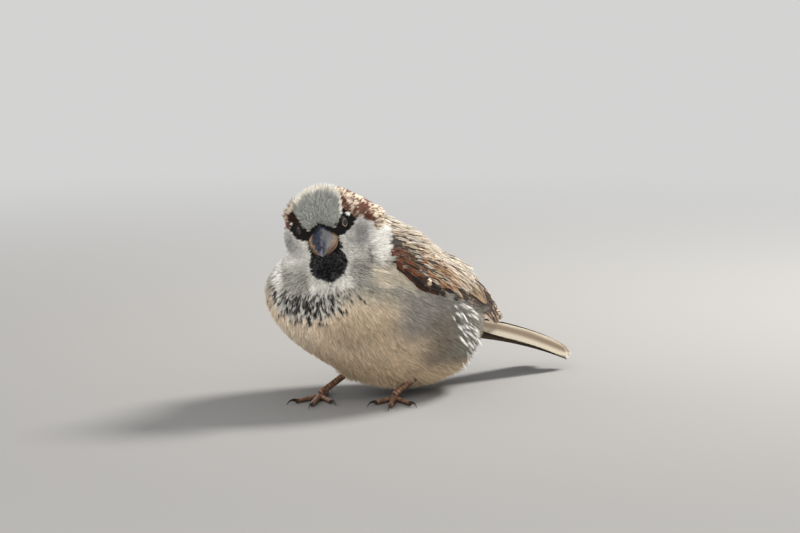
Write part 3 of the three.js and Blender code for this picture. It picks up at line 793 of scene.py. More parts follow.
def coat_rise(size, where, room, eye_gap):
    """How deep the coat is at each feather, and how far its barbs stand up. The crown is raised, and
    the rear flank and the belly are fluffed out."""
    side, _, up = to_head(where).T
    right_edge = smoothstep(side, -3.5, -7) * smoothstep(up, 0, 3)
    depth = room * 1.02 + CROWN_RAISE * np.maximum(smoothstep(up, 3.5, 8), 1.25 * right_edge)
    depth = depth + 0.12 * smoothstep(eye_gap, 3.4, 2.6)
    x, y, z = where.T
    fluffed = smoothstep(y, -16, -6) * smoothstep(np.abs(x), 8, 14)
    fluffed = np.maximum(fluffed, smoothstep(z, 16, 6))
    hanging = smoothstep(z, 15, 10) * smoothstep(z, 6, 9)
    clear_of_floor = mix(0.3, 1.0, smoothstep(z, 5, 9))
    return depth, 0.15 + (1.4 * clear_of_floor + hanging) * fluffed * smoothstep(size, 0.5, 1)


def make_coat():
    """The coat of the head and the body, its feathers small at the bill and large on the trunk."""
    size = smoothstep(from_face(skin.centres), 2, 34)
    eye_gap = np.min([distance(skin.centres - eye) for eye in EYES], axis=0)
    bare = (cad_wings.gap(skin.centres) < 1.6) | in_bill(skin.centres) | (eye_gap < 1.6)
    per_mm2 = mix(mix(11.0, 5.5, smoothstep(size, 0.05, 0.5)), 2.1, smoothstep(size, 0.4, 1))
    faces, weights = scatter(skin, np.where(bare, 0, per_mm2))
    order = rng.permutation(len(faces))
    faces, weights = faces[order], weights[order]
    size, where = size[faces], skin.centres[faces]
    length = mix(0.9, 2.5, smoothstep(size, 0, 0.4))
    length = mix(length, 6.0, smoothstep(size, 0.35, 1)) * rng.uniform(0.8, 1.2, len(size))
    length = length * (1 + 0.7 * smoothstep(where[:, 1], 4, 14))
    half_width = length * mix(0.26, 0.2, size)
    depth, lift = coat_rise(size, where, skin.at(skin_room, faces, weights), eye_gap[faces])
    small = size < 0.55
    made = []
    for kind, chosen, barbs in (("head", small, 6), ("body", ~small, 11)):
        chosen = np.flatnonzero(chosen)
        pieces = math.ceil(len(chosen) * barbs * 3 / COAT_PIECE_LIMIT)  # a barb has three triangles
        # Sorted along the body, so that each piece is one stretch of it.
        chosen = chosen[np.argsort(where[chosen] @ [0.0, 1.0, -0.3])]
        for number, some in enumerate(np.array_split(chosen, pieces)):
            made.append(grow(f"coat_{kind}_{number}", skin, (faces[some], weights[some]), length[some],
                             half_width[some], barbs, depth[some], plumage, lift=lift[some]))
    return made


def tuft_look(points, chance):
    """White-tipped feathers with dark gaps between them."""
    look = Look(len(points), FLANK_GREY * 0.45)
    look.paint(1, fringe=FLANK_GREY, start=0.7)
    start = 0.3 + 0.3 * another(chance)
    look.paint(chance > 0.22, fringe=FLANK_TIP_WHITE, start=start, body=FLANK_GREY * 0.6)
    return look


TUFT_FRONT = [(12, 2), (18, -2), (25, -9.5), (31, -14)]  # height: front edge, further back lower down


def make_tufts():
    """The fluffed, white-tipped feathers on the rear of the flanks."""
    x, y, z = skin.centres.T
    from_front = y - follow(TUFT_FRONT, z)
    rough = curve_noise(skin.centres, 4, 61) * 1.8
    here = (from_front > rough - 1.5) & (from_front < 8.5) & (np.abs(x) > 11) & (z > 12) & (z < 31.8)
    places = spaced(skin, here, 1.2)
    count = len(places[0])
    length = rng.uniform(3.8, 6.0, count)
    depth = skin.at(skin_room, *places) * rng.uniform(1.25, 1.6, count) + 0.4
    return [grow("flank_tufts", skin, places, length, length * 0.125, 9, depth, tuft_look, 3,
                 rng.uniform(0.3, 1.6, count), flow=tuft_flow)]


# ---- The picture --------------------------------------------------------------------------------

AZIMUTH, ELEVATION = math.radians(45), math.radians(8)
PIXELS_PER_MM = 3.3
PICTURE = np.array([800, 533])
AIM_PIXEL = np.array([371, 290])  # where the aim lies in the picture
AIM = np.array([0.0, -22.7, 33.0])
PICTURE_RIGHT = np.array([math.cos(AZIMUTH), math.sin(AZIMUTH), 0])
PICTURE_UP = np.array([
    -math.sin(AZIMUTH) * math.sin(ELEVATION),
    math.cos(AZIMUTH) * math.sin(ELEVATION),
    math.cos(ELEVATION),
])

# The upper edge of the back, where the wing's markings start: places in the picture.
BACK_EDGE = [(375, 206), (402, 218), (429, 237.5), (442, 253), (464, 267), (482, 280), (492, 296)]
CREAM_LIMIT = [(415, 13), (450, 8.5)]  # column in the picture: how far down the back's cream edge goes


def on_picture(points):
    """Where a point of the left side, or its mirror image, lies in the picture, in pixels."""
    from_aim = points * [0, 1, 1] + np.abs(points) * [1, 0, 0] - AIM
    across = AIM_PIXEL[0] + PIXELS_PER_MM * from_aim @ PICTURE_RIGHT
    return across, AIM_PIXEL[1] - PIXELS_PER_MM * from_aim @ PICTURE_UP


# ---- Mantle, sides of the neck, and the feathers over the wing's lower edge ---------------------

# Places in the part's own frame before SHIFT, and how much deeper the mantle and the upper part of the
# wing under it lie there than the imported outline.
UNDER_MANTLE = [(-10, 0), (0, 1.2), (12, 3.0), (20, 4.0), (28, 2.4), (36, -0.8), (46, -1.4)]
# Distance along Y: height.
MANTLE_BOTTOM = [
    (-36, 47), (-34, 45.5), (-30, 43.5), (-24, 42), (-18, 40.5), (-12, 39.8), (-6, 40.5), (0, 42), (8, 44),
]
BORDER_TOP = [(-40, 50), (-37, 47), (-33, 41), (-29, 38), (-21, 36), (-13, 33.2), (6, 28.4), (16, 22)]


def mantle_look(points, chance):
    """Cream along the back's edge, then straw with black streaks, black scapulars, and rufous to the
    rear. `drop` is how far below the back's edge a feather ends in the picture."""
    look = Look(len(points), MANTLE_STRAW)
    across, height = on_picture(points)
    drop = (height - follow(BACK_EDGE, across)) * 0.8 + curve_noise(points, 4, 51) * 1.5
    other, third = another(chance), another(chance, 53.7)
    tone = 0.72 + 0.45 * other[:, None]
    rear = smoothstep(across, 424, 438)
    rufous = rear * smoothstep(drop, 5, 10) * (third > 0.35)
    body = blend(MANTLE_STRAW, MANTLE_RUFOUS, rufous) * tone
    look.paint(1, body=body, fringe=body * 1.2, start=1.02, streak=MANTLE_BLACK, width=0.34 + 0.3 * other)
    look.paint(third > 0.8, streak=LESSER_DARK, width=0.35)
    look.paint((chance > 0.6) * (1 - rufous), body=MANTLE_CREAM * tone, fringe=MANTLE_CREAM)

    # The cream edge of the back, with a few thin streaks.
    limit = follow(CREAM_LIMIT, across)
    cream = smoothstep(drop, limit, limit - 4) * (other < 0.88)
    pale = MANTLE_CREAM * (0.58 + 0.42 * other[:, None])
    thin = 0.34 * (chance > 0.35)
    look.paint(cream, body=pale, fringe=pale * 1.1, streak=MANTLE_RUFOUS * 0.36, width=thin)

    # Brown with black streaks down the middle of the back, and some on its right.
    x = points[:, 0]
    middle = smoothstep(np.abs(x), 6.5, 3) * (other > 0.2)
    middle = np.maximum(middle, (x < -4) * (other > 0.45) * (third > 0.2))
    body = blend(MANTLE_STRAW, MANTLE_RUFOUS, 0.7) * tone * 0.85
    look.paint(middle, body=body, streak=MANTLE_BLACK, width=0.45)
    look.paint(middle, fringe=blend(MANTLE_STRAW, MANTLE_RUFOUS, 0.5) * tone, start=0.95)

    # Brown behind the neck, and the black scapulars over the front of the wing.
    brown = (across < 410) * smoothstep(drop, 21, 25) * (third > 0.3)
    dark = blend(LESSER_DARK, MANTLE_BLACK, 0.4) * tone * 1.2
    look.paint(brown, body=dark, fringe=MANTLE_RUFOUS * 0.8, start=0.85, width=0.4)
    black = (across > 396) * (across < 432) * smoothstep(drop, 18.5, 21) * (third > 0.2)
    look.paint(black, body=MANTLE_BLACK * 1.3, streak=MANTLE_BLACK, width=0.8)
    look.paint(black, fringe=MANTLE_STRAW * 0.8, start=1.03)
    look.paint(rear * (drop > 9) * (other > 0.4), streak=MANTLE_BLACK, width=0.7)
    last = smoothstep(across, 452, 460) * smoothstep(drop, 3, 5)
    look.paint(last, body=TERTIAL_RUFOUS * tone * 1.3, fringe=MANTLE_CREAM, start=0.9, streak=MANTLE_BLACK)
    look.paint(last, width=0.6 * (other > 0.4))
    return look


def make_mantle():
    """Long streaked feathers over the back and the tops of the wings, in two layers."""
    x, y, z = outline.centres.T
    rough = curve_noise(outline.centres, 5, 12)
    behind_neck = np.where(x > 0, to_head(outline.centres)[:, 0] > 15.3, y > -33) & (y > -39.5)
    back = (z > follow(MANTLE_BOTTOM, y) + 0.6 * rough) & behind_neck & (y < 4)
    made = []
    for number, (gap, sink) in enumerate(((1.6, 0.5), (1.5, 0.0))):
        places = spaced(outline, back, gap)
        where = outline.centres[places[0]]
        y, z = where[:, 1], where[:, 2]
        length = mix(6.0, 10.5, smoothstep(y, -38, -22)) * rng.uniform(0.85, 1.15, len(y))
        over_wing = smoothstep(cad_wings.gap(where), 3.0, 0.8) * smoothstep(y, -37, -30)
        sunk = smoothstep(z, 44, 49) * follow(UNDER_MANTLE, y - SHIFT[1])
        depth = mix(0.8, 2.1 - sunk, over_wing) - sink + rng.uniform(-0.15, 0.15, len(y))
        made.append(grow(f"mantle_{number}", outline, places, length, 0.45 + length * 0.035, 12, depth,
                         mantle_look, 3, base=-3.0, flow=mantle_flow))
    return made


def make_neck_side():
    """Feathers of the sides of the neck, white at the rear, which hide the front of the wing."""
    side, back, up = to_head(outline.centres).T
    rough = curve_noise(outline.centres, 4, 17)
    here = (side > 12.2) & (side < 16.8 + 0.4 * rough) & (up < 0) & (up > -13) & (back > -6)
    here = here & (outline.centres[:, 1] < -26)
    places = scatter(outline, np.where(here, 3.6, 0.0))
    count = len(places[0])
    length = rng.uniform(2.6, 4.0, count)
    over_wing = smoothstep(cad_wings.gap(outline.centres[places[0]]), 3.5, 1.0)
    depth = mix(0.5, 1.5, over_wing) * rng.uniform(0.8, 1.1, count)
    return [grow("neck_side", outline, places, length, length * 0.2, 9, depth, plumage, base=-1.5)]


def border_look(points, chance):
    look = plumage(points, chance)
    front = smoothstep(points[:, 1], -24, -32) * smoothstep(points[:, 2], 45, 43)
    look.paint(front, body=SHOULDER_CREAM * 0.9, fringe=CREAM_TIP, start=0.6)
    return look


def make_wing_border():
    """Flank and breast feathers with pointed tips that lie over the wing's lower edge."""
    _, y, z = outline.centres.T
    near = cad_wings.gap(outline.centres)
    top = follow(BORDER_TOP, y) - follow([(-20, 0.6), (-10, 2.2)], y)
    border = (near < 3.0) & (z < top) & (z < 45) & (y < 10) & (y > -44)
    places = scatter(outline, np.where(border, 1.6, 0.0))
    count = len(places[0])
    length = rng.uniform(4.5, 7.0, count)
    depth = rng.uniform(1.0, 1.9, count) * smoothstep(near[places[0]], 3.0, 1.5)
    return [grow("wing_border", outline, places, length, length * 0.16, 9, depth, border_look, base=-2.6)]


# ---- Vanes: the large feathers of the wings and the tail -----------------------------------------

BARB_ANGLE = 34  # degrees between a vane's barbs and its shaft
VANE_STEPS = 25
BARB_STEPS = np.array([0, 0.45, 0.75, 1.0])  # shares of a barb where it has points
BAKE_COLUMNS = 16  # feathers side by side on a wing's or the tail's bake map

# The arch that the folded wing lies on: distance along Y in the part's frame, its half width, the
# height of its middle, its half height, and the angles of the wing's lower and upper edges.
WING_ARCH = [
    [-18, 23.5, 30.5, 23.4, 40, 54],
    [-13, 26.2, 30.3, 26.5, 30, 66],
    [-3, 27.8, 29.7, 27.7, 14, 73],
    [8, 27.6, 27.6, 26.4, 11, 76],
    [18, 25.2, 25.4, 23.4, 10, 78],
    [30, 19.8, 23.4, 17.5, 6, 80],
    [40, 13.2, 22, 12.2, 1, 80],
    [47, 8.6, 20.4, 8.6, -6, 72],
    [54, 5, 17.4, 3.6, -6, 44],
]

# The tail's middle line in the part's frame, and its widths.
TAIL_LINE = np.array([[0, 38, 18.6], [0, 63, 14.8], [0, 84.5, 6]], float)
TAIL_ROOT_WIDTH, TAIL_END_WIDTH = 9, 13.5
TAIL_FALL = 3.8  # how far the folded tail slopes from its ridge to its edges
TAIL_ROLL = math.radians(12)  # its left edge down


def through(rows):
    """A smooth curve of values through rows of (position, value, value, ...)."""
    rows = np.array(rows, float)
    stations, values = rows[:, 0], rows[:, 1:]
    slopes = np.gradient(values, stations, axis=0)

    def curve(position):
        position = np.clip(position, stations[0], stations[-1])
        low = np.clip(np.searchsorted(stations, position, side="right") - 1, 0, len(stations) - 2)
        gap = (stations[low + 1] - stations[low])[..., None]
        t = (position[..., None] - stations[low][..., None]) / gap
        start, end = values[low], values[low + 1]
        rise, fall = slopes[low] * gap, slopes[low + 1] * gap
        blended = start + t * rise + t**2 * (3 * (end - start) - 2 * rise - fall)
        blended = blended + t**3 * (2 * (start - end) + rise + fall)
        return np.moveaxis(blended, -1, 0)

    return curve


wing_arch = through(WING_ARCH)


def wing_sheet(side):
    """Places on a wing: distance along Y, share from its lower to its upper edge, height over the arch."""

    def place(along, share, height=0.0):
        half_width, middle, half_height, low, high = wing_arch(along)
        angle = np.radians(low + (high - low) * share)
        height = height - smoothstep(share, 0.3, 0.7) * follow(UNDER_MANTLE, along)
        x = side * (half_width + height) * np.cos(angle)
        z = middle + (half_height + height) * np.sin(angle)
        return np.stack([x, along + 0 * x, z], -1) + SHIFT

    return place


def tail_sheet(along, across, height=0.0):
    """Places on the folded tail: share of its length, share of its half width, height over it."""
    root, middle, end = TAIL_LINE
    t = np.asarray(along)[..., None]
    line = root * (1 - t) ** 2 + middle * 2 * t * (1 - t) + end * t**2
    sideways = across * (mix(TAIL_ROOT_WIDTH, TAIL_END_WIDTH, along) / 2)
    upwards = height + TAIL_FALL * (0.4 - across**2) + 0 * sideways
    x = sideways * math.cos(TAIL_ROLL) + upwards * math.sin(TAIL_ROLL)
    z = upwards * math.cos(TAIL_ROLL) - sideways * math.sin(TAIL_ROLL)
    return line + np.stack([x, 0 * x, z], -1) + SHIFT


def outline_of_vane(t, blunt):
    """A vane's half width, from 0 to 1, at a share of its length. A blunter one keeps its width longer."""
    closing = np.sqrt(np.clip(1 - (np.clip(t - blunt, 0, 1) / (1 - blunt)) ** 2, 0, 1))
    return smoothstep(t, -0.3, 0.35) * closing


def vane_frame(sheet, face_out, roots, tips):
    """What lays points on a sheet beside the feathers' shafts, and the shafts' lengths. `face_out` says
    which way is out."""
    line = roots[:, None] + (tips - roots)[:, None] * np.linspace(0, 1, VANE_STEPS)[None, :, None]
    rows = np.arange(len(line))[:, None]
    small = 1e-3 * np.abs(tips[:, :1] - roots[:, :1])

    def lay(a, b):
        here = sheet(a, b)
        slope_a = (sheet(a + small, b) - here) / small[..., None]
        slope_b = (sheet(a, b + 1e-3) - here) / 1e-3
        return here, slope_a, slope_b, unit(np.cross(slope_a, slope_b)) * face_out

    centre, slope_a, slope_b, normal = lay(line[..., 0], line[..., 1])
    length = distance(np.diff(centre, axis=1)).sum(1)
    outwards = unit(np.cross(normal, unit(np.gradient(centre, axis=1))))
    outwards = outwards * np.sign(dot(outwards, -slope_b))

    def on_vane(at, across, height):
        """Places at a share of the shaft, millimetres across and over it: each is (feather, ...)."""
        flat = at.reshape(len(line), -1)
        low = np.clip((flat * (VANE_STEPS - 1)).astype(int), 0, VANE_STEPS - 2)
        part = (flat * (VANE_STEPS - 1) - low)[..., None]

        def pick(values):
            return values[rows, low] * (1 - part) + values[rows, low + 1] * part

        offset = pick(outwards) * across.reshape(len(line), -1)[..., None]
        sa, sb = pick(slope_a), pick(slope_b)
        aa, ab, bb = (sa * sa).sum(-1), (sa * sb).sum(-1), (sb * sb).sum(-1)
        oa, ob = (offset * sa).sum(-1), (offset * sb).sum(-1)
        spread = aa * bb - ab * ab
        where = pick(line)
        a = where[..., 0] + (bb * oa - ab * ob) / spread
        b = where[..., 1] + (aa * ob - ab * oa) / spread
        here, _, _, up = lay(a, b)
        return (here + up * height.reshape(len(line), -1)[..., None]).reshape(*at.shape, 3)

    return on_vane, length


def make_vanes(sheet, face_out, roots, tips, half_in, half_out, layers, look, blunt=0.7, barbs=60,
               camber=0.35, droop=0.25, width=1.2, ragged=0.02):
    """Feathers with a shaft and two vanes of close barbs, one for each row of `roots` and `tips`.

    `half_in` and `half_out` are the widths of the inner and outer vane in millimetres, `layers` the
    height of each feather over the sheet, and `look(u, t, chance)` gives the colours: u runs from -1 at
    the inner edge to 1 at the outer edge, t from 0 at the root to 1 at the tip. Returns points,
    triangles, colours, a bake place for each point, and which feather it belongs to.
    """
    count = len(roots)
    layers = wide(np.broadcast_to(layers, count))
    chance = rng.uniform(size=count)
    on_vane, length = vane_frame(sheet, face_out, roots, tips)

    def crowned(share, below=0.0):
        return layers - below + camber * (1 - share**2) - droop * np.abs(share) ** 3

    parts = []
    # The barbs on both sides of the shaft.
    for side, half in ((-1, half_in), (1, half_out)):
        ends = np.linspace(0.04, 1.0, barbs)[None] + rng.normal(0, 0.25 / barbs, (count, barbs))
        clump = np.sin(ends * rng.uniform(20, 34, (count, 1)) + rng.uniform(0, 6, (count, 1)))
        ends = np.clip(ends + ragged * 0.3 * clump, 0, 1)
        reach = half * outline_of_vane(ends, blunt) * (1 - ragged * rng.exponential(1.0, (count, barbs)))
        lag = reach / math.tan(math.radians(BARB_ANGLE)) / length[:, None]
        starts = np.clip(ends - lag * 1.1, 0, 1)
        at = starts[..., None] + (ends - starts)[..., None] * BARB_STEPS**1.25
        across = side * reach[..., None] * BARB_STEPS
        share = across / half
        height = crowned(share) + rng.normal(0, 0.035, (count, barbs, 1)) * BARB_STEPS
        thick = wide(length / barbs * width / 2) / wide(length) * np.where(BARB_STEPS == 1, 0.35, 1.0)
        edges = [on_vane(np.clip(at + way * thick, 0, 1), across, height) for way in (-1, 1)]
        points = np.stack(edges, 3).reshape(count, barbs, -1, 3)
        shade = look(share, at, wide(chance)) * rng.uniform(0.76, 1.2, (count, barbs, 1, 1))
        shade, share, at = (np.repeat(values, 2, axis=2) for values in (shade, share, at))
        parts.append((points, grid_triangles(count * barbs, len(BARB_STEPS), 2), shade, share, at))

    # A thin backing under the barbs, so that nothing shows between them.
    along = np.linspace(0.02, 0.97, 20)
    u = np.array([-0.93, -0.5, 0, 0.5, 0.93])
    reach = outline_of_vane(np.clip(along + 0.03, 0, 1), blunt)
    across = u * np.where(u < 0, half_in, half_out) * reach[None, :, None] * np.ones((count, 1, 1))
    at = np.broadcast_to(along[None, :, None], across.shape)
    share = np.broadcast_to(u * reach[:, None], across.shape)
    shade = look(share, at, wide(chance)) * 0.8
    parts.append((on_vane(at, across, crowned(share, 0.09)), grid_triangles(count, 20, 5), shade, share, at))

    # The shaft: a thin ridge.
    along = np.linspace(0, 0.96, 18)
    thin = (0.2 * (1 - 0.75 * along))[None, :, None]
    across = thin * np.array([-1, 0, 1]) * np.ones((count, 1, 1))
    height = layers + camber + 0.02 + thin * np.array([-0.3, 0.7, -0.3])
    at = np.broadcast_to(along[None, :, None], across.shape)
    shade = look(np.zeros_like(across), at, wide(chance)) * 0.55
    parts.append((on_vane(at, across, height), grid_triangles(count, 18, 3), shade, across * 0, at))

    flat = []
    for points, triangles, shade, share, at in parts:
        bake = np.stack([share * 0.5 + 0.5, at + 0 * share], -1)
        feather = np.broadcast_to(wide(np.arange(count)), share.shape)
        flat.append((points.reshape(-1, 3), triangles.reshape(-1, 3), shade.reshape(-1, 3),
                     bake.reshape(-1, 2), feather.reshape(-1)))
    return joined(flat)


def vane_object(name, kinds):
    """Several kinds of vanes as one mesh, each feather with a cell of its own on OFBake."""
    before = np.cumsum([0] + [kind[4].max() + 1 for kind in kinds])
    rows = math.ceil(before[-1] / BAKE_COLUMNS)
    placed = []
    for (points, triangles, shade, bake, feather), start in zip(kinds, before):
        cell = feather + start
        u = (cell % BAKE_COLUMNS + 0.05 + 0.9 * bake[:, 0]) / BAKE_COLUMNS
        v = (cell // BAKE_COLUMNS + 0.05 + 0.9 * bake[:, 1]) / rows
        placed.append((points, triangles, shade, np.stack([u, v], 1)))
    return mesh_object(name, *joined(placed))


# ---- Wings and tail -----------------------------------------------------------------------------


def edged(middle, edge, tip, edge_from, tip_from, outer_from=None):
    """Dark feathers with a paler border. `outer_from` is where the border starts on the outer vane."""

    def look(u, t, chance):
        border = np.where(u > 0, edge_from if outer_from is None else outer_from, edge_from)
        border = border + 0.12 * np.sin(t * 9 + chance * 20)
        shade = blend(middle, edge, smoothstep(np.abs(u), border - 0.1, border + 0.1))
        ragged = t + 0.04 * np.sin(u * 12 + chance * 30)
        shade = blend(shade, tip, smoothstep(ragged, tip_from, tip_from + 0.05))
        return shade * (0.85 + 0.3 * chance[..., None])

    return look


def chestnut(darker, paler):
    """Covert feathers of one colour, dark at the root."""

    def look(u, t, chance):
        shade = blend(darker, paler, smoothstep(t, 0.3, 0.85) * (0.4 + 0.6 * chance))
        return blend(shade, paler * 1.15, smoothstep(np.abs(u), 0.6, 1.0) * 0.6)

    return look


def mirrored(look, side):
    return lambda u, t, chance: look(-side * u, t, chance)


def fan(count, first, last):
    """Evenly spaced rows of values from the first to the last feather."""
    return np.linspace(first, last, count)


PRIMARY = edged(FLIGHT_BROWN * 0.7, PRIMARY_EDGE, PRIMARY_EDGE, 0.86, 0.95, 0.72)
SECONDARY = edged(FLIGHT_BROWN, SECONDARY_EDGE, SECONDARY_EDGE, 0.85, 0.93, 0.5)
TERTIAL = edged(TERTIAL_BLACK, TERTIAL_EDGE, CREAM_TIP, 0.55, 0.93, 0.6)
PRIMARY_COVERT = edged(TERTIAL_BLACK, LESSER_DARK, SECONDARY_EDGE, 0.8, 0.92, 0.65)
GREATER_COVERT = edged(TERTIAL_BLACK, TERTIAL_RUFOUS, BUFF, 0.6, 0.9, 0.4)
MEDIAN_COVERT = edged(TERTIAL_BLACK, LESSER_ORANGE, LESSER_ORANGE, 0.6, 0.86)
PALE_MEDIAN_COVERT = edged(TERTIAL_BLACK, LESSER_ORANGE, MEDIAN_WHITE, 0.7, 0.8)
UPPER_LESSER_COVERT = chestnut(LESSER_DARK, LESSER_ORANGE)
LOWER_LESSER_COVERT = chestnut(LESSER_DARK, LESSER_ORANGE * 0.7)
LOWEST_LESSER_COVERT = edged(TERTIAL_BLACK, LESSER_DARK, LESSER_ORANGE * 0.8, 0.6, 0.9)
INNER_TAIL = edged(TAIL_BROWN, TAIL_EDGE, TAIL_EDGE, 0.84, 0.96, 0.7)
OUTER_TAIL = edged(TAIL_BROWN, TAIL_EDGE, TAIL_EDGE, 0.8, 0.96, 0.3)

LESSER_ROWS = (-6.0, -8.0, -10.0, -12.0, -13.8)  # distance along Y
LESSER_FRONT = [(0, -11), (0.33, -14), (0.4, -11), (0.66, -7), (0.9, 0)]  # share: distance along Y
LESSER_TOP = 0.62  # share of the wing above which the mantle covers the lesser coverts


def wing_vanes(side):
    """The feathers of a wing, kind by kind. A feather's root and tip are (distance along Y, share from
    the wing's lower to its upper edge)."""
    sheet = wing_sheet(side)
    kinds = []

    def add(*arguments, **options):
        kinds.append(make_vanes(sheet, side, *arguments, **options))

    # Primaries, the innermost first and on top.
    roots = fan(9, [6, 0.30], [2, 0.04])
    tips = np.stack([[38.5, 41.5, 44.5, 47, 49.5, 51.5, 53, 53.5, 52], fan(9, 0.85, 0.08)], 1)
    add(roots, tips, 3.4, 2.4, fan(9, -0.9, -1.7), PRIMARY, blunt=0.84, barbs=110, camber=0.2, droop=0.1)
    # Secondaries.
    roots, tips = fan(6, [3, 0.46], [4, 0.25]), fan(6, [35.5, 0.42], [37.5, 0.24])
    add(roots, tips, 3.3, 2.1, fan(6, -0.5, -1.0), SECONDARY, blunt=0.8, barbs=90, camber=0.2, droop=0.12)
    # Primary coverts and the alula.
    roots, tips = fan(6, [-5, 0.22], [-6, 0.04]), fan(6, [11, 0.16], [14, 0.02])
    add(roots, tips, 1.5, 1.2, fan(6, -0.4, -0.6), PRIMARY_COVERT, blunt=0.7, barbs=50, droop=0.1,
        camber=0.2)
    roots, tips = fan(3, [-11, 0.14], [-12, 0.04]), fan(3, [2.5, 0.1], [6, 0.02])
    add(roots, tips, 1.6, 1.3, fan(3, -0.2, -0.35), PRIMARY_COVERT, blunt=0.6, barbs=45, droop=0.1,
        camber=0.25)
    # Tertials, the innermost first and on top.
    roots = np.array([[2, 0.80], [2, 0.68], [1, 0.56]])
    tips = np.array([[22, 0.88], [28.5, 0.78], [34.5, 0.64]])
    add(roots, tips, 4.2, 4.4, np.array([0.2, 0.0, -0.2]), TERTIAL, blunt=0.66, barbs=100, droop=0.3)
    # Greater coverts.
    roots, tips = fan(9, [-4, 0.76], [-4, 0.16]), fan(9, [13, 0.74], [9.5, 0.15])
    add(roots, tips, 2.5, 2.5, fan(9, 0.0, -0.3), GREATER_COVERT, blunt=0.66)
    # Median coverts, of which only the lowest shows a white tip.
    roots, tips = fan(7, [-10, 0.64], [-9.5, 0.08]), fan(7, [2.5, 0.62], [-0.5, 0.1])
    lowest = np.arange(7) == 6
    for rows, look in ((lowest, PALE_MEDIAN_COVERT), (~lowest, MEDIAN_COVERT)):
        add(roots[rows], tips[rows], 2.5, 2.5, fan(7, 0.1, -0.05)[rows], look, blunt=0.6, barbs=46)
    # Lesser coverts in rows, the hindmost row lowest.
    for row, y in enumerate(LESSER_ROWS):
        number = 11 - row
        shares = 0.5 + 0.25 * (row % 2) / number + np.linspace(0.46, -0.48, number)
        roots = np.stack([np.full(number, y - 2.0), shares], 1)
        tips = np.stack([np.full(number, y + 4.6), shares - 0.03], 1)
        roots += rng.normal(0, [0.5, 0.012], roots.shape)
        tips += rng.normal(0, [0.5, 0.012], tips.shape)
        kept = (roots[:, 0] > follow(LESSER_FRONT, roots[:, 1])) & (shares < LESSER_TOP)
        upper, lowest = kept & (shares > 0.3), kept & (shares <= 0.08)
        bands = ((upper, UPPER_LESSER_COVERT), (kept & ~upper & ~lowest, LOWER_LESSER_COVERT),
                 (lowest, LOWEST_LESSER_COVERT))
        for rows, look in bands:
            if rows.any():
                look = LOWER_LESSER_COVERT if y == LESSER_ROWS[-1] else look
                add(roots[rows], tips[rows], 1.9, 1.9, 0.08 * row, look, blunt=0.4, barbs=38, camber=0.25,
                    droop=0.3, ragged=0.2, width=0.8)
    return kinds


def tail_vanes():
    """The twelve feathers of the tail, each half from the middle out."""
    kinds = []
    for side in (1, -1):
        roots = np.stack([np.full(6, 0.02), side * np.linspace(0.1, 0.5, 6)], 1)
        tips = np.stack([[0.955, 0.985, 1, 1, 0.99, 0.97], side * np.linspace(0.2, 0.86, 6)], 1)
        heights = np.linspace(0.35, -0.75, 6) + 0.03 * side
        # Seen from above, the outer vane of each feather is the narrow one.
        for rows, look in ((slice(0, 4), INNER_TAIL), (slice(4, 6), OUTER_TAIL)):
            kinds.append(make_vanes(tail_sheet, 1, roots[rows], tips[rows], 2.5, 2.5, heights[rows],
                                    mirrored(look, side), blunt=0.86, barbs=110, camber=0.15, droop=0.1))
    return kinds


def bed(sheet, along, across, height, colour):
    """A dark sheet under the feathers, over a column of places along it and a row of places across."""
    points = sheet(along * np.ones_like(across), across * np.ones_like(along), height)
    rows, columns = points.shape[:2]
    points = points.reshape(-1, 3)
    return points, grid_triangles(1, rows, columns)[0], np.broadcast_to(colour, points.shape)


# A dark sheet under the tail: painted shade along the tail's underside.
def tail_shade_sheet():
    return bed(tail_sheet, down(30, 0.05, 0.93), np.linspace(-0.95, 0.95, 10), -1.1, TAIL_BROWN * 0.5)


def wing_bed(side):
    return bed(wing_sheet(side), down(40, -14, 42), np.linspace(0.08, 0.9, 12), -1.7, FLIGHT_BROWN)


# ---- Bill, eyes and feet ------------------------------------------------------------------------


def bill_shade(points, level, share, cosine, edge, upper):
    """Slate over ochre sides on the upper half, ochre on the lower one. `level` is 1 along the ridge,
    `share` 0 at the root and 1 at the tip, `edge` 1 along the cutting edge."""
    grain = curve_noise(points * [1, 0.35, 1], 1.1, 31)
    if upper:
        slate = smoothstep(level + 0.12 * share + 0.14 * grain, 0.2, 0.42)
        # A pale line along the ridge is a painted highlight.
        ridge = np.exp(-((cosine / 0.1) ** 2)) * 0.35 * smoothstep(share, 0.1, 0.5)
        shade = blend(blend(BILL_OCHRE, BILL_SLATE, slate), BILL_PALE, ridge)
        shade = blend(shade, BILL_PALE, 0.6 * smoothstep(share, 0.8, 1.0))
        # Painted light and shade: the upper half is painted paler on the bird's right and darker on its
        # left.
        shade = shade * mix(1.9, 0.6, smoothstep(cosine, -0.3, 0.3))[..., None]
    else:
        shade = blend(BILL_OCHRE, BILL_TAN, smoothstep(share + 0.3 * grain, 0.2, 0.9))
    shade = blend(shade, BILL_SLATE * 0.35, edge * smoothstep(share, 1.0, 0.6) * 0.7)
    if upper:
        for side in ([1, 1, 1], [-1, 1, 1]):
            from_nostril = distance((points - np.multiply(NOSTRIL, side)) / NOSTRIL_SIZE)
            shade = blend(shade, MASK_BLACK, smoothstep(from_nostril, 1.15, 0.8))
    specks = np.clip(curve_noise(points * [1, 0.5, 1], 0.35, 33) - 0.75, 0, 1)[..., None]
    return shade * (1 + 0.45 * grain[..., None]) + 0.7 * BILL_PALE * specks


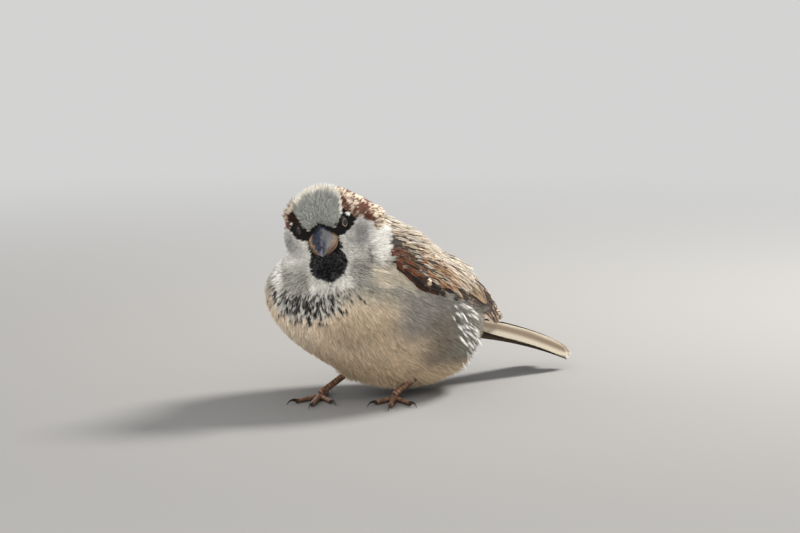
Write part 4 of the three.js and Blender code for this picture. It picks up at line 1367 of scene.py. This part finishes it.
def bill_half(upper):
    """One half of the bill: its points, triangles and colours."""
    share = np.minimum(1 - (1 - down(64)) ** 1.4, 0.9995)
    angle = around(48)
    sine, cosine = np.sin(angle), np.cos(angle)
    tomium = mix(GAPE_HEIGHT, CULMEN_TIP_HEIGHT + 0.25, share**1.3)
    if upper:
        y = mix(BILL_ROOT, BILL_TIP, share)
        half_width = BILL_HALF_WIDTH * (1 - share**1.7) ** 0.9
        culmen = mix(CULMEN_HEIGHT, CULMEN_TIP_HEIGHT, 0.45 * share + 0.55 * share**2.2)
        reach = np.maximum(culmen - tomium, 0.06)
        # Two flat sides that meet in a ridge, and only at the tip a round section.
        straight = np.where(sine > 0, (1 - np.abs(cosine)) ** 0.9, 0)
        outside = mix(np.maximum(sine, 0) ** mix(1.5, 1.0, share), straight, 0.85 * (1 - share**2))
    else:
        y = mix(BILL_ROOT, BILL_TIP + 1.0, share)
        half_width = BILL_HALF_WIDTH * (1 - share**2.3) ** 0.9
        gonys = mix(GONYS_DEPTH, CULMEN_TIP_HEIGHT, 0.3 * share + 0.7 * share**2.5)
        reach = np.maximum(tomium - gonys, 0.06)
        outside = np.maximum(sine, 0) ** mix(0.7, 1.0, share)
        # The lower half is square in section at its root.
        cosine = np.sign(cosine) * np.abs(cosine) ** mix(0.6, 1.0, share)
    # The inside is hollowed; the upper half's cutting edge hangs over the lower half's.
    rise = reach * (outside + np.minimum(sine, 0) * 0.12)
    edge = np.abs(cosine) ** 10
    ridge = np.exp(-((cosine / 0.13) ** 2)) * (sine > 0) * 0.16 * (1 - share)
    z = tomium + (rise + ridge - 0.16 * edge if upper else -rise + 0.04)
    points = np.stack([half_width * cosine, y + 0 * angle, z], -1)
    shade = bill_shade(points, outside * (sine > 0), share, cosine, edge, upper)
    points, triangles, shade = tube(points, shade, from_head)
    return points, triangles if upper else triangles[:, ::-1], shade


def beside_and_above(way):
    """Two directions square to the way that something points: to its side, and up."""
    aside = unit(np.cross(way, [0, 0, 1.0]))
    return aside, np.cross(aside, way)


def eye_ball(centre, look):
    """A round eye with a black pupil in a dark brown iris."""
    polar, angle = down(48, 0.002, math.pi * 0.75), around(64)
    out = EYE_RADIUS * (1 + 0.03 * np.exp(-((polar / 0.5) ** 2)))
    ahead = centre + (out * np.cos(polar))[..., None] * look
    points = ringed(ahead, out * np.sin(polar), angle, *beside_and_above(look))
    shade = blend(MASK_BLACK * 0.15, EYE_BROWN, smoothstep(polar, 0.33, 0.4))
    rays = 0.25 * np.sin(angle * 23) + 0.2 * np.sin(angle * 37 + 1)
    shade = shade * (1 + rays * smoothstep(polar, 0.36, 0.45))[..., None]
    return tube(points, blend(shade, MASK_BLACK * 0.2, smoothstep(polar, 0.55, 0.66)))


def eye_lids(centre, look, lit_ring_share):
    """A ring of wrinkled bare skin round the opening, which the face's feathers close up to.
    The last argument is how much of the beige rim shows; below 1 the rim is painted darker, as painted
    shade."""
    rings, sides = 26, 96
    share, angle = down(rings), around(sides)
    # A little pointed in front and behind, as the lids meet there.
    pointed = 0.1 * np.abs(np.cos(angle)) ** 6
    opening = EYE_OPENING * (1 + pointed - 0.08 * np.maximum(np.sin(angle), 0) ** 2)
    across = mix(opening, LID_REACH, share)
    over_ball = np.sqrt(np.maximum(EYE_RADIUS**2 - across**2, 0.05))
    start = math.sqrt(EYE_RADIUS**2 - EYE_OPENING**2)
    roll = 0.2 * np.sin(np.clip(share / 0.3, 0, 1) * math.pi * 0.75) + 0.05
    folds = 0.05 * np.sin(share * 22 + 0.5 * np.sin(angle * 5)) * smoothstep(share, 0.1, 0.3)
    ahead = mix(start, over_ball, 0.35 * share) + roll + folds - 0.8 * share**1.5
    points = ringed(centre + ahead[..., None] * look, across, angle, *beside_and_above(look))
    under = smoothstep(np.sin(angle), 0.4, -0.5)
    pale = smoothstep(share, 0.05, 0.12) * smoothstep(share, 0.33, 0.24) * (0.3 + 0.6 * under) * lit_ring_share
    creases = 0.35 * smoothstep(folds, -0.01, 0.04) * smoothstep(share, 0.25, 0.4) * under
    shade = blend(blend(MASK_BLACK, LID_BEIGE, pale), LID_BROWN, creases)
    shade = blend(shade, MASK_BLACK * 0.5, smoothstep(share, 0.4, 0.6))
    # The ring's rows are closed round but not capped.
    inner = grid_triangles(1, rings, sides + 1)[0]
    column, row = inner % (sides + 1) % sides, inner // (sides + 1)
    return points.reshape(-1, 3), row * sides + column, shade.reshape(-1, 3)


# Where the tarsus meets the toes, its upper end, and the direction of the middle toe in degrees.
FEET = {
    "left": {"at": np.array([9.4, 0.6, 2]), "heel": np.array([11.9, 16.6, 11.4]),
             "facing": 40, "side": 1},
    "right": {"at": np.array([-8.8, -13.1, 2]), "heel": np.array([-7.4, 3.6, 9.8]),
              "facing": 36, "side": -1},
}
TOES = {
    "middle": {"splay": 0, "length": 14, "radius": 1.1, "claw": 5.6, "joints": (0.3, 0.58, 0.84)},
    "inner": {"splay": -30, "length": 9.5, "radius": 1.0, "claw": 4.8, "joints": (0.45, 0.82)},
    "outer": {"splay": 32, "length": 10.5, "radius": 0.95, "claw": 4.5, "joints": (0.25, 0.5, 0.68, 0.86)},
    "hind": {"splay": 184, "length": 8.5, "radius": 1.25, "claw": 6.5, "joints": (0.8,)},
}
TOE_AXIS = 0.75  # height of a toe's middle line over the ground
TARSUS_RADIUS = 1.0
TARSUS_FLAT = 0.86  # a tarsus is narrower from side to side than from front to back
CLAW_FLAT = 0.72  # and so is a claw
SCUTE_LENGTH = 1.15


def scutes(along, front):
    """How far the overlapping plates of a leg stand out, and how dark their edges are."""
    phase = along / SCUTE_LENGTH % 1
    plate = smoothstep(phase, 0, 0.12) * (1 - 0.75 * phase)
    groove = smoothstep(phase, 0.24, 0.06) + smoothstep(phase, 0.86, 1.0)
    return plate * front, groove * (0.35 + 0.65 * front)


def leg_shade(groove, plate, where, seed):
    mottled = 0.35 * curve_noise(where, 1.3, seed) + 0.2 * curve_noise(where, 0.5, seed + 9)
    shade = blend(LEG_BROWN, LEG_PALE, np.clip(0.8 * plate + mottled, 0, 1))
    return blend(shade, LEG_DARK, np.clip(groove * 0.85, 0, 1))


def tarsus(foot):
    share, angle = down(110), around(36)
    start = foot["at"] + [0, 0, -0.35]
    long = np.linalg.norm(foot["heel"] - start)
    way = (foot["heel"] - start) / long
    across = unit(np.cross(way, [0, 0, 1.0]))
    facing = np.maximum(np.sin(angle), 0) ** 0.5
    plate, groove = scutes(share * long, facing)
    fine = 0.5 * (1 - facing) * (0.5 + 0.5 * np.sin(share * long * 9 + 3 * np.cos(angle)))
    radius = TARSUS_RADIUS * (1 + 0.25 * smoothstep(share, 0.16, 0.0) + 0.25 * smoothstep(share, 0.75, 1.0))
    radius = (radius + 0.13 * plate - 0.03 * fine) * np.sqrt(np.clip(share / 0.02, 0.3, 1))
    line = start + (share * long)[..., None] * way
    points = ringed(line, radius, angle, across, unit(np.cross(across, way)), TARSUS_FLAT)
    return tube(points, leg_shade(groove + 0.4 * fine, plate, points, 41))


def toe_place(foot, toe):
    """What turns a toe that lies along -Y into its place: a turn about Z and a shift."""
    axes = np.array(turned(foot["facing"] + foot["side"] * toe["splay"], "Z"))
    return lambda points: points @ axes.T + foot["at"] * [1, 1, 0]


def toe_shape(foot, toe):
    share, angle = down(96), around(32)
    along = mix(0.1, toe["length"], share)
    top, low = np.maximum(np.sin(angle), 0), np.minimum(np.sin(angle), 0)
    plate, groove = scutes(along + 0.4, top**0.6)
    knuckles = sum(np.exp(-(((share - joint) / 0.045) ** 2)) for joint in toe["joints"])
    pads = 0.1 - 0.2 * knuckles
    radius = toe["radius"] * (1 - 0.26 * share) * (1 - 0.24 * pads)
    radius = radius * np.sqrt(np.clip((1 - share) / 0.05, 0.35, 1))
    # Under the toe the pads touch the ground and the joints between them don't.
    depth = TOE_AXIS * (1 - 0.22 * knuckles)
    z = np.maximum(TOE_AXIS + (radius * 0.92 + 0.1 * plate) * top + depth * low, 0)
    x = radius * 0.92 * np.cos(angle) * (1 + 0.1 * low)
    points = np.stack([x, -along + 0 * angle, z], -1)
    warts = np.clip(np.sin(along * 8 + 2 * np.cos(angle * 3)) * (low < -0.3), 0, 1)
    return tube(points, leg_shade(groove + 0.35 * warts, plate, points, 43), toe_place(foot, toe))


def claw_shape(foot, toe):
    """A claw curved from the toe's end over its crown down to the ground."""
    share, angle = down(36), around(20)
    root = np.array([0, -toe["length"] + 0.35, TOE_AXIS])
    crown = np.array([0, -toe["length"] - toe["claw"] * 0.6, TOE_AXIS + 1.35])
    tip = np.array([0, -toe["length"] - 0.3 - toe["claw"] * 0.93, 0.12])
    line = root * (1 - share) ** 2 + crown * 2 * share * (1 - share) + tip * share**2
    above = unit(np.cross(unit(np.gradient(line, axis=0)), [-1.0, 0, 0]))
    above = above * np.sign(above[:, 2:3] + 1e-9)
    radius = mix(0.66, 0.06, share**0.85)
    points = ringed(line[:, None], radius, angle, np.array([1.0, 0, 0]), above[:, None], CLAW_FLAT)
    points[..., 2] = np.maximum(points[..., 2], 0.0)
    keel = smoothstep(np.sin(angle), -0.4, -1.0)
    shade = blend(CLAW_DARK, CLAW_PALE, 0.5 * keel + 0.35 * smoothstep(share, 0.25, 0.0))
    return tube(points, shade, toe_place(foot, toe))


def shifted(part):
    points, *others = part
    return (points + SHIFT * [1, 1, 0], *others)


def make_details():
    """The bill, the eyes with their lids, the legs and the claws, each with the nodes that it replaces."""
    made = []

    def add(name, shape, material, slot, *nodes):
        piece = mesh_object(name, *shape)
        piece.data.materials.append(material)
        made.append((piece, slot, nodes))

    add("beak_upper", bill_half(True), bill_material, "bill", "bill_upper")
    add("beak_lower", bill_half(False), bill_material, "bill", "bill_lower")
    for name, eye, look in zip(("left", "right"), EYES, LOOKS):
        add(f"eyeball_{name}", eye_ball(eye, look), eye_material, "eye", f"eye_{name}")
        # The right eye's beige rim is painted darker than the left eye's: painted shade.
        add(f"eyelids_{name}", eye_lids(eye, look, 1.0 if name == "left" else 0.3), lid_material, "eye")
        foot = FEET[name]
        parts = [tarsus(foot)] + [toe_shape(foot, toe) for toe in TOES.values()]
        nodes = [f"tarsus_{name}"] + [f"toe_{name}_{toe}" for toe in TOES]
        add(f"leg_{name}", shifted(joined(parts)), leg_material, "leg", *nodes)
        for toe_name, toe in TOES.items():
            node = f"claw_{name}_{toe_name}"
            add(f"nail_{name}_{toe_name}", shifted(claw_shape(foot, toe)), claw_material, "claw", node)
    return made


# ---- Materials ----------------------------------------------------------------------------------


def new_material(name):
    """A material, its nodes, its links and its shader."""
    material = bpy.data.materials.new(name)
    material.use_nodes = True
    nodes = material.node_tree.nodes
    return material, nodes, material.node_tree.links, nodes["Principled BSDF"]


def set_inputs(node, values):
    for name, value in values.items():
        node.inputs[name].default_value = value


def plain_material(name, roughness, bump=0.3, scale=1500.0, specular=0.25):
    """The mesh's own colours, varied and roughened by a fine grain."""
    material, nodes, links, shader = new_material(name)
    colour = nodes.new("ShaderNodeAttribute")
    colour.attribute_name = "plumage"
    places = nodes.new("ShaderNodeTexCoord")
    grain = nodes.new("ShaderNodeTexNoise")
    vary = nodes.new("ShaderNodeHueSaturation")
    strength = nodes.new("ShaderNodeMapRange")
    rise = nodes.new("ShaderNodeBump")
    set_inputs(grain, {"Scale": scale, "Detail": 3})
    set_inputs(strength, {"To Min": 0.8, "To Max": 1.2})
    set_inputs(rise, {"Strength": bump, "Distance": 0.0001})
    set_inputs(shader, {"Roughness": roughness, "Specular IOR Level": specular})
    links.new(places.outputs["Object"], grain.inputs["Vector"])
    links.new(grain.outputs["Fac"], strength.inputs["Value"])
    links.new(strength.outputs["Result"], vary.inputs["Value"])
    links.new(colour.outputs["Color"], vary.inputs["Color"])
    links.new(vary.outputs["Color"], shader.inputs["Base Color"])
    links.new(grain.outputs["Fac"], rise.inputs["Height"])
    links.new(rise.outputs["Normal"], shader.inputs["Normal"])
    return material


# ---- The pieces ---------------------------------------------------------------------------------

# The feathers draw their random numbers in this order.
skin_object, skin_unwrap = unwrap_skin()
coat = make_coat()
tufts = make_tufts()
covers = make_mantle() + make_neck_side() + make_wing_border()
SIDES = {"left": 1, "right": -1}
wings = {name: vane_object(f"feathers_wing_{name}", wing_vanes(side)) for name, side in SIDES.items()}
tail = vane_object("feathers_tail", tail_vanes())

feather_material = plain_material("feather", 0.8)
bill_material = plain_material("bill", 0.5, bump=0.5, scale=1400, specular=0.08)
eye_material = plain_material("eye", 0.04, bump=0.0, specular=0.6)
lid_material = plain_material("lids", 0.85, bump=0.4, scale=2500)
leg_material = plain_material("legs", 0.42, bump=0.35, scale=2200)
claw_material = plain_material("claws", 0.24, bump=0.1, scale=1500)

for piece, slot, nodes in make_details():
    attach(piece, "root")
    if nodes:
        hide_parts(*nodes)
skin_object.data.materials.append(feather_material)
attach(skin_object, "root")
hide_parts(*FLESH)
for piece in coat + tufts + covers:
    piece.data.materials.append(feather_material)
    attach(piece, "root")
for name, piece in wings.items():
    sheet_below = mesh_object(f"bed_wing_{name}", *wing_bed(SIDES[name]))
    for made in (piece, sheet_below):
        made.data.materials.append(feather_material)
        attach(made, "root")
    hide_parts(f"wing_{name}_coverts", f"wing_{name}_tertials", f"wing_{name}_primaries")
# The dark sheet under the tail is painted shade.
for piece in (tail, mesh_object("shade_sheet_tail", *tail_shade_sheet())):
    piece.data.materials.append(feather_material)
    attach(piece, "root")
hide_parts("tail_middle", "tail_left", "tail_right")

# ---- Floor, light and camera --------------------------------------------------------------------

LENS, SENSOR = 200, 36
CLIP_END = 20  # metres
FLOOR_SIZE = 6000.0
FLOOR_COLOUR = (0.25, 0.247, 0.243, 1)
FLOOR_ENDS = {"From Min": 0.15, "From Max": 0.6}  # metres out, where the floor turns into the backdrop
WORLD_COLOUR = (0.87, 0.87, 0.865, 1)
WORLD_STRENGTH = 0.75
LIT_POINT = Vector((0, -20, 35))  # what the lamps point at


def make_floor():
    """A plain floor that takes on the colour of the backdrop further out."""
    points = np.array([[-1, -1, 0], [1, -1, 0], [1, 1, 0], [-1, 1, 0]]) * FLOOR_SIZE
    floor = mesh_object("floor", points, np.array([[0, 1, 2], [0, 2, 3]]))
    material, nodes, links, shader = new_material("floor")
    backdrop = nodes.new("ShaderNodeEmission")
    place = nodes.new("ShaderNodeTexCoord")
    far_out = nodes.new("ShaderNodeVectorMath")
    far_out.operation = "LENGTH"
    share = nodes.new("ShaderNodeMapRange")
    share.interpolation_type = "SMOOTHSTEP"
    both = nodes.new("ShaderNodeMixShader")
    set_inputs(shader, {"Base Color": FLOOR_COLOUR, "Roughness": 0.9, "Specular IOR Level": 0.0})
    set_inputs(backdrop, {"Color": WORLD_COLOUR, "Strength": WORLD_STRENGTH})
    set_inputs(share, FLOOR_ENDS)
    links.new(place.outputs["Object"], far_out.inputs[0])
    links.new(far_out.outputs["Value"], share.inputs["Value"])
    links.new(share.outputs["Result"], both.inputs[0])
    links.new(shader.outputs["BSDF"], both.inputs[1])
    links.new(backdrop.outputs["Emission"], both.inputs[2])
    links.new(both.outputs["Shader"], nodes["Material Output"].inputs["Surface"])
    floor.data.materials.append(material)


def make_light(name, place, size, power, colour):
    lamp = bpy.data.lights.new(name, "AREA")
    lamp.shape = "DISK"
    lamp.size = size * MM
    lamp.energy = power
    lamp.color = colour
    made = bpy.data.objects.new(name, lamp)
    made.location = Vector(place) * MM
    made.rotation_euler = (LIT_POINT - Vector(place)).to_track_quat("-Z", "Y").to_euler()
    bpy.context.scene.collection.objects.link(made)


def make_camera():
    towards = np.cross(PICTURE_RIGHT, PICTURE_UP)
    distance_back = LENS / SENSOR * PICTURE[0] / PIXELS_PER_MM
    aside, lower = (PICTURE / 2 - AIM_PIXEL) / PIXELS_PER_MM
    camera = bpy.data.objects.new("camera", bpy.data.cameras.new("camera"))
    camera.data.lens = LENS
    camera.data.sensor_width = SENSOR
    camera.data.clip_end = CLIP_END
    camera.location = Vector(AIM + towards * distance_back + PICTURE_RIGHT * aside - PICTURE_UP * lower) * MM
    camera.rotation_euler = Vector(towards).to_track_quat("Z", "Y").to_euler()
    bpy.context.scene.collection.objects.link(camera)
    bpy.context.scene.camera = camera


def make_world():
    world = bpy.data.worlds.new("studio")
    world.use_nodes = True
    set_inputs(world.node_tree.nodes["Background"], {"Color": WORLD_COLOUR, "Strength": WORLD_STRENGTH})
    bpy.context.scene.world = world


def set_tones():
    """Plain screen tones, so that the colours above show as they are."""
    bpy.context.scene.view_settings.view_transform = "Standard"
    bpy.context.scene.view_settings.look = "None"


make_floor()
make_light("key", (500, -750, 620), 900, 5.2, (1, 0.98, 0.96))
make_light("sun", (90, 470, 520), 220, 9.5, (1, 0.97, 0.93))
make_light("bounce", (420, -640, 110), 500, 1.7, (1, 0.95, 0.89))
make_light("fill", (-600, -500, 300), 800, 1.6, (0.97, 0.98, 1))
make_camera()
make_world()
set_tones()
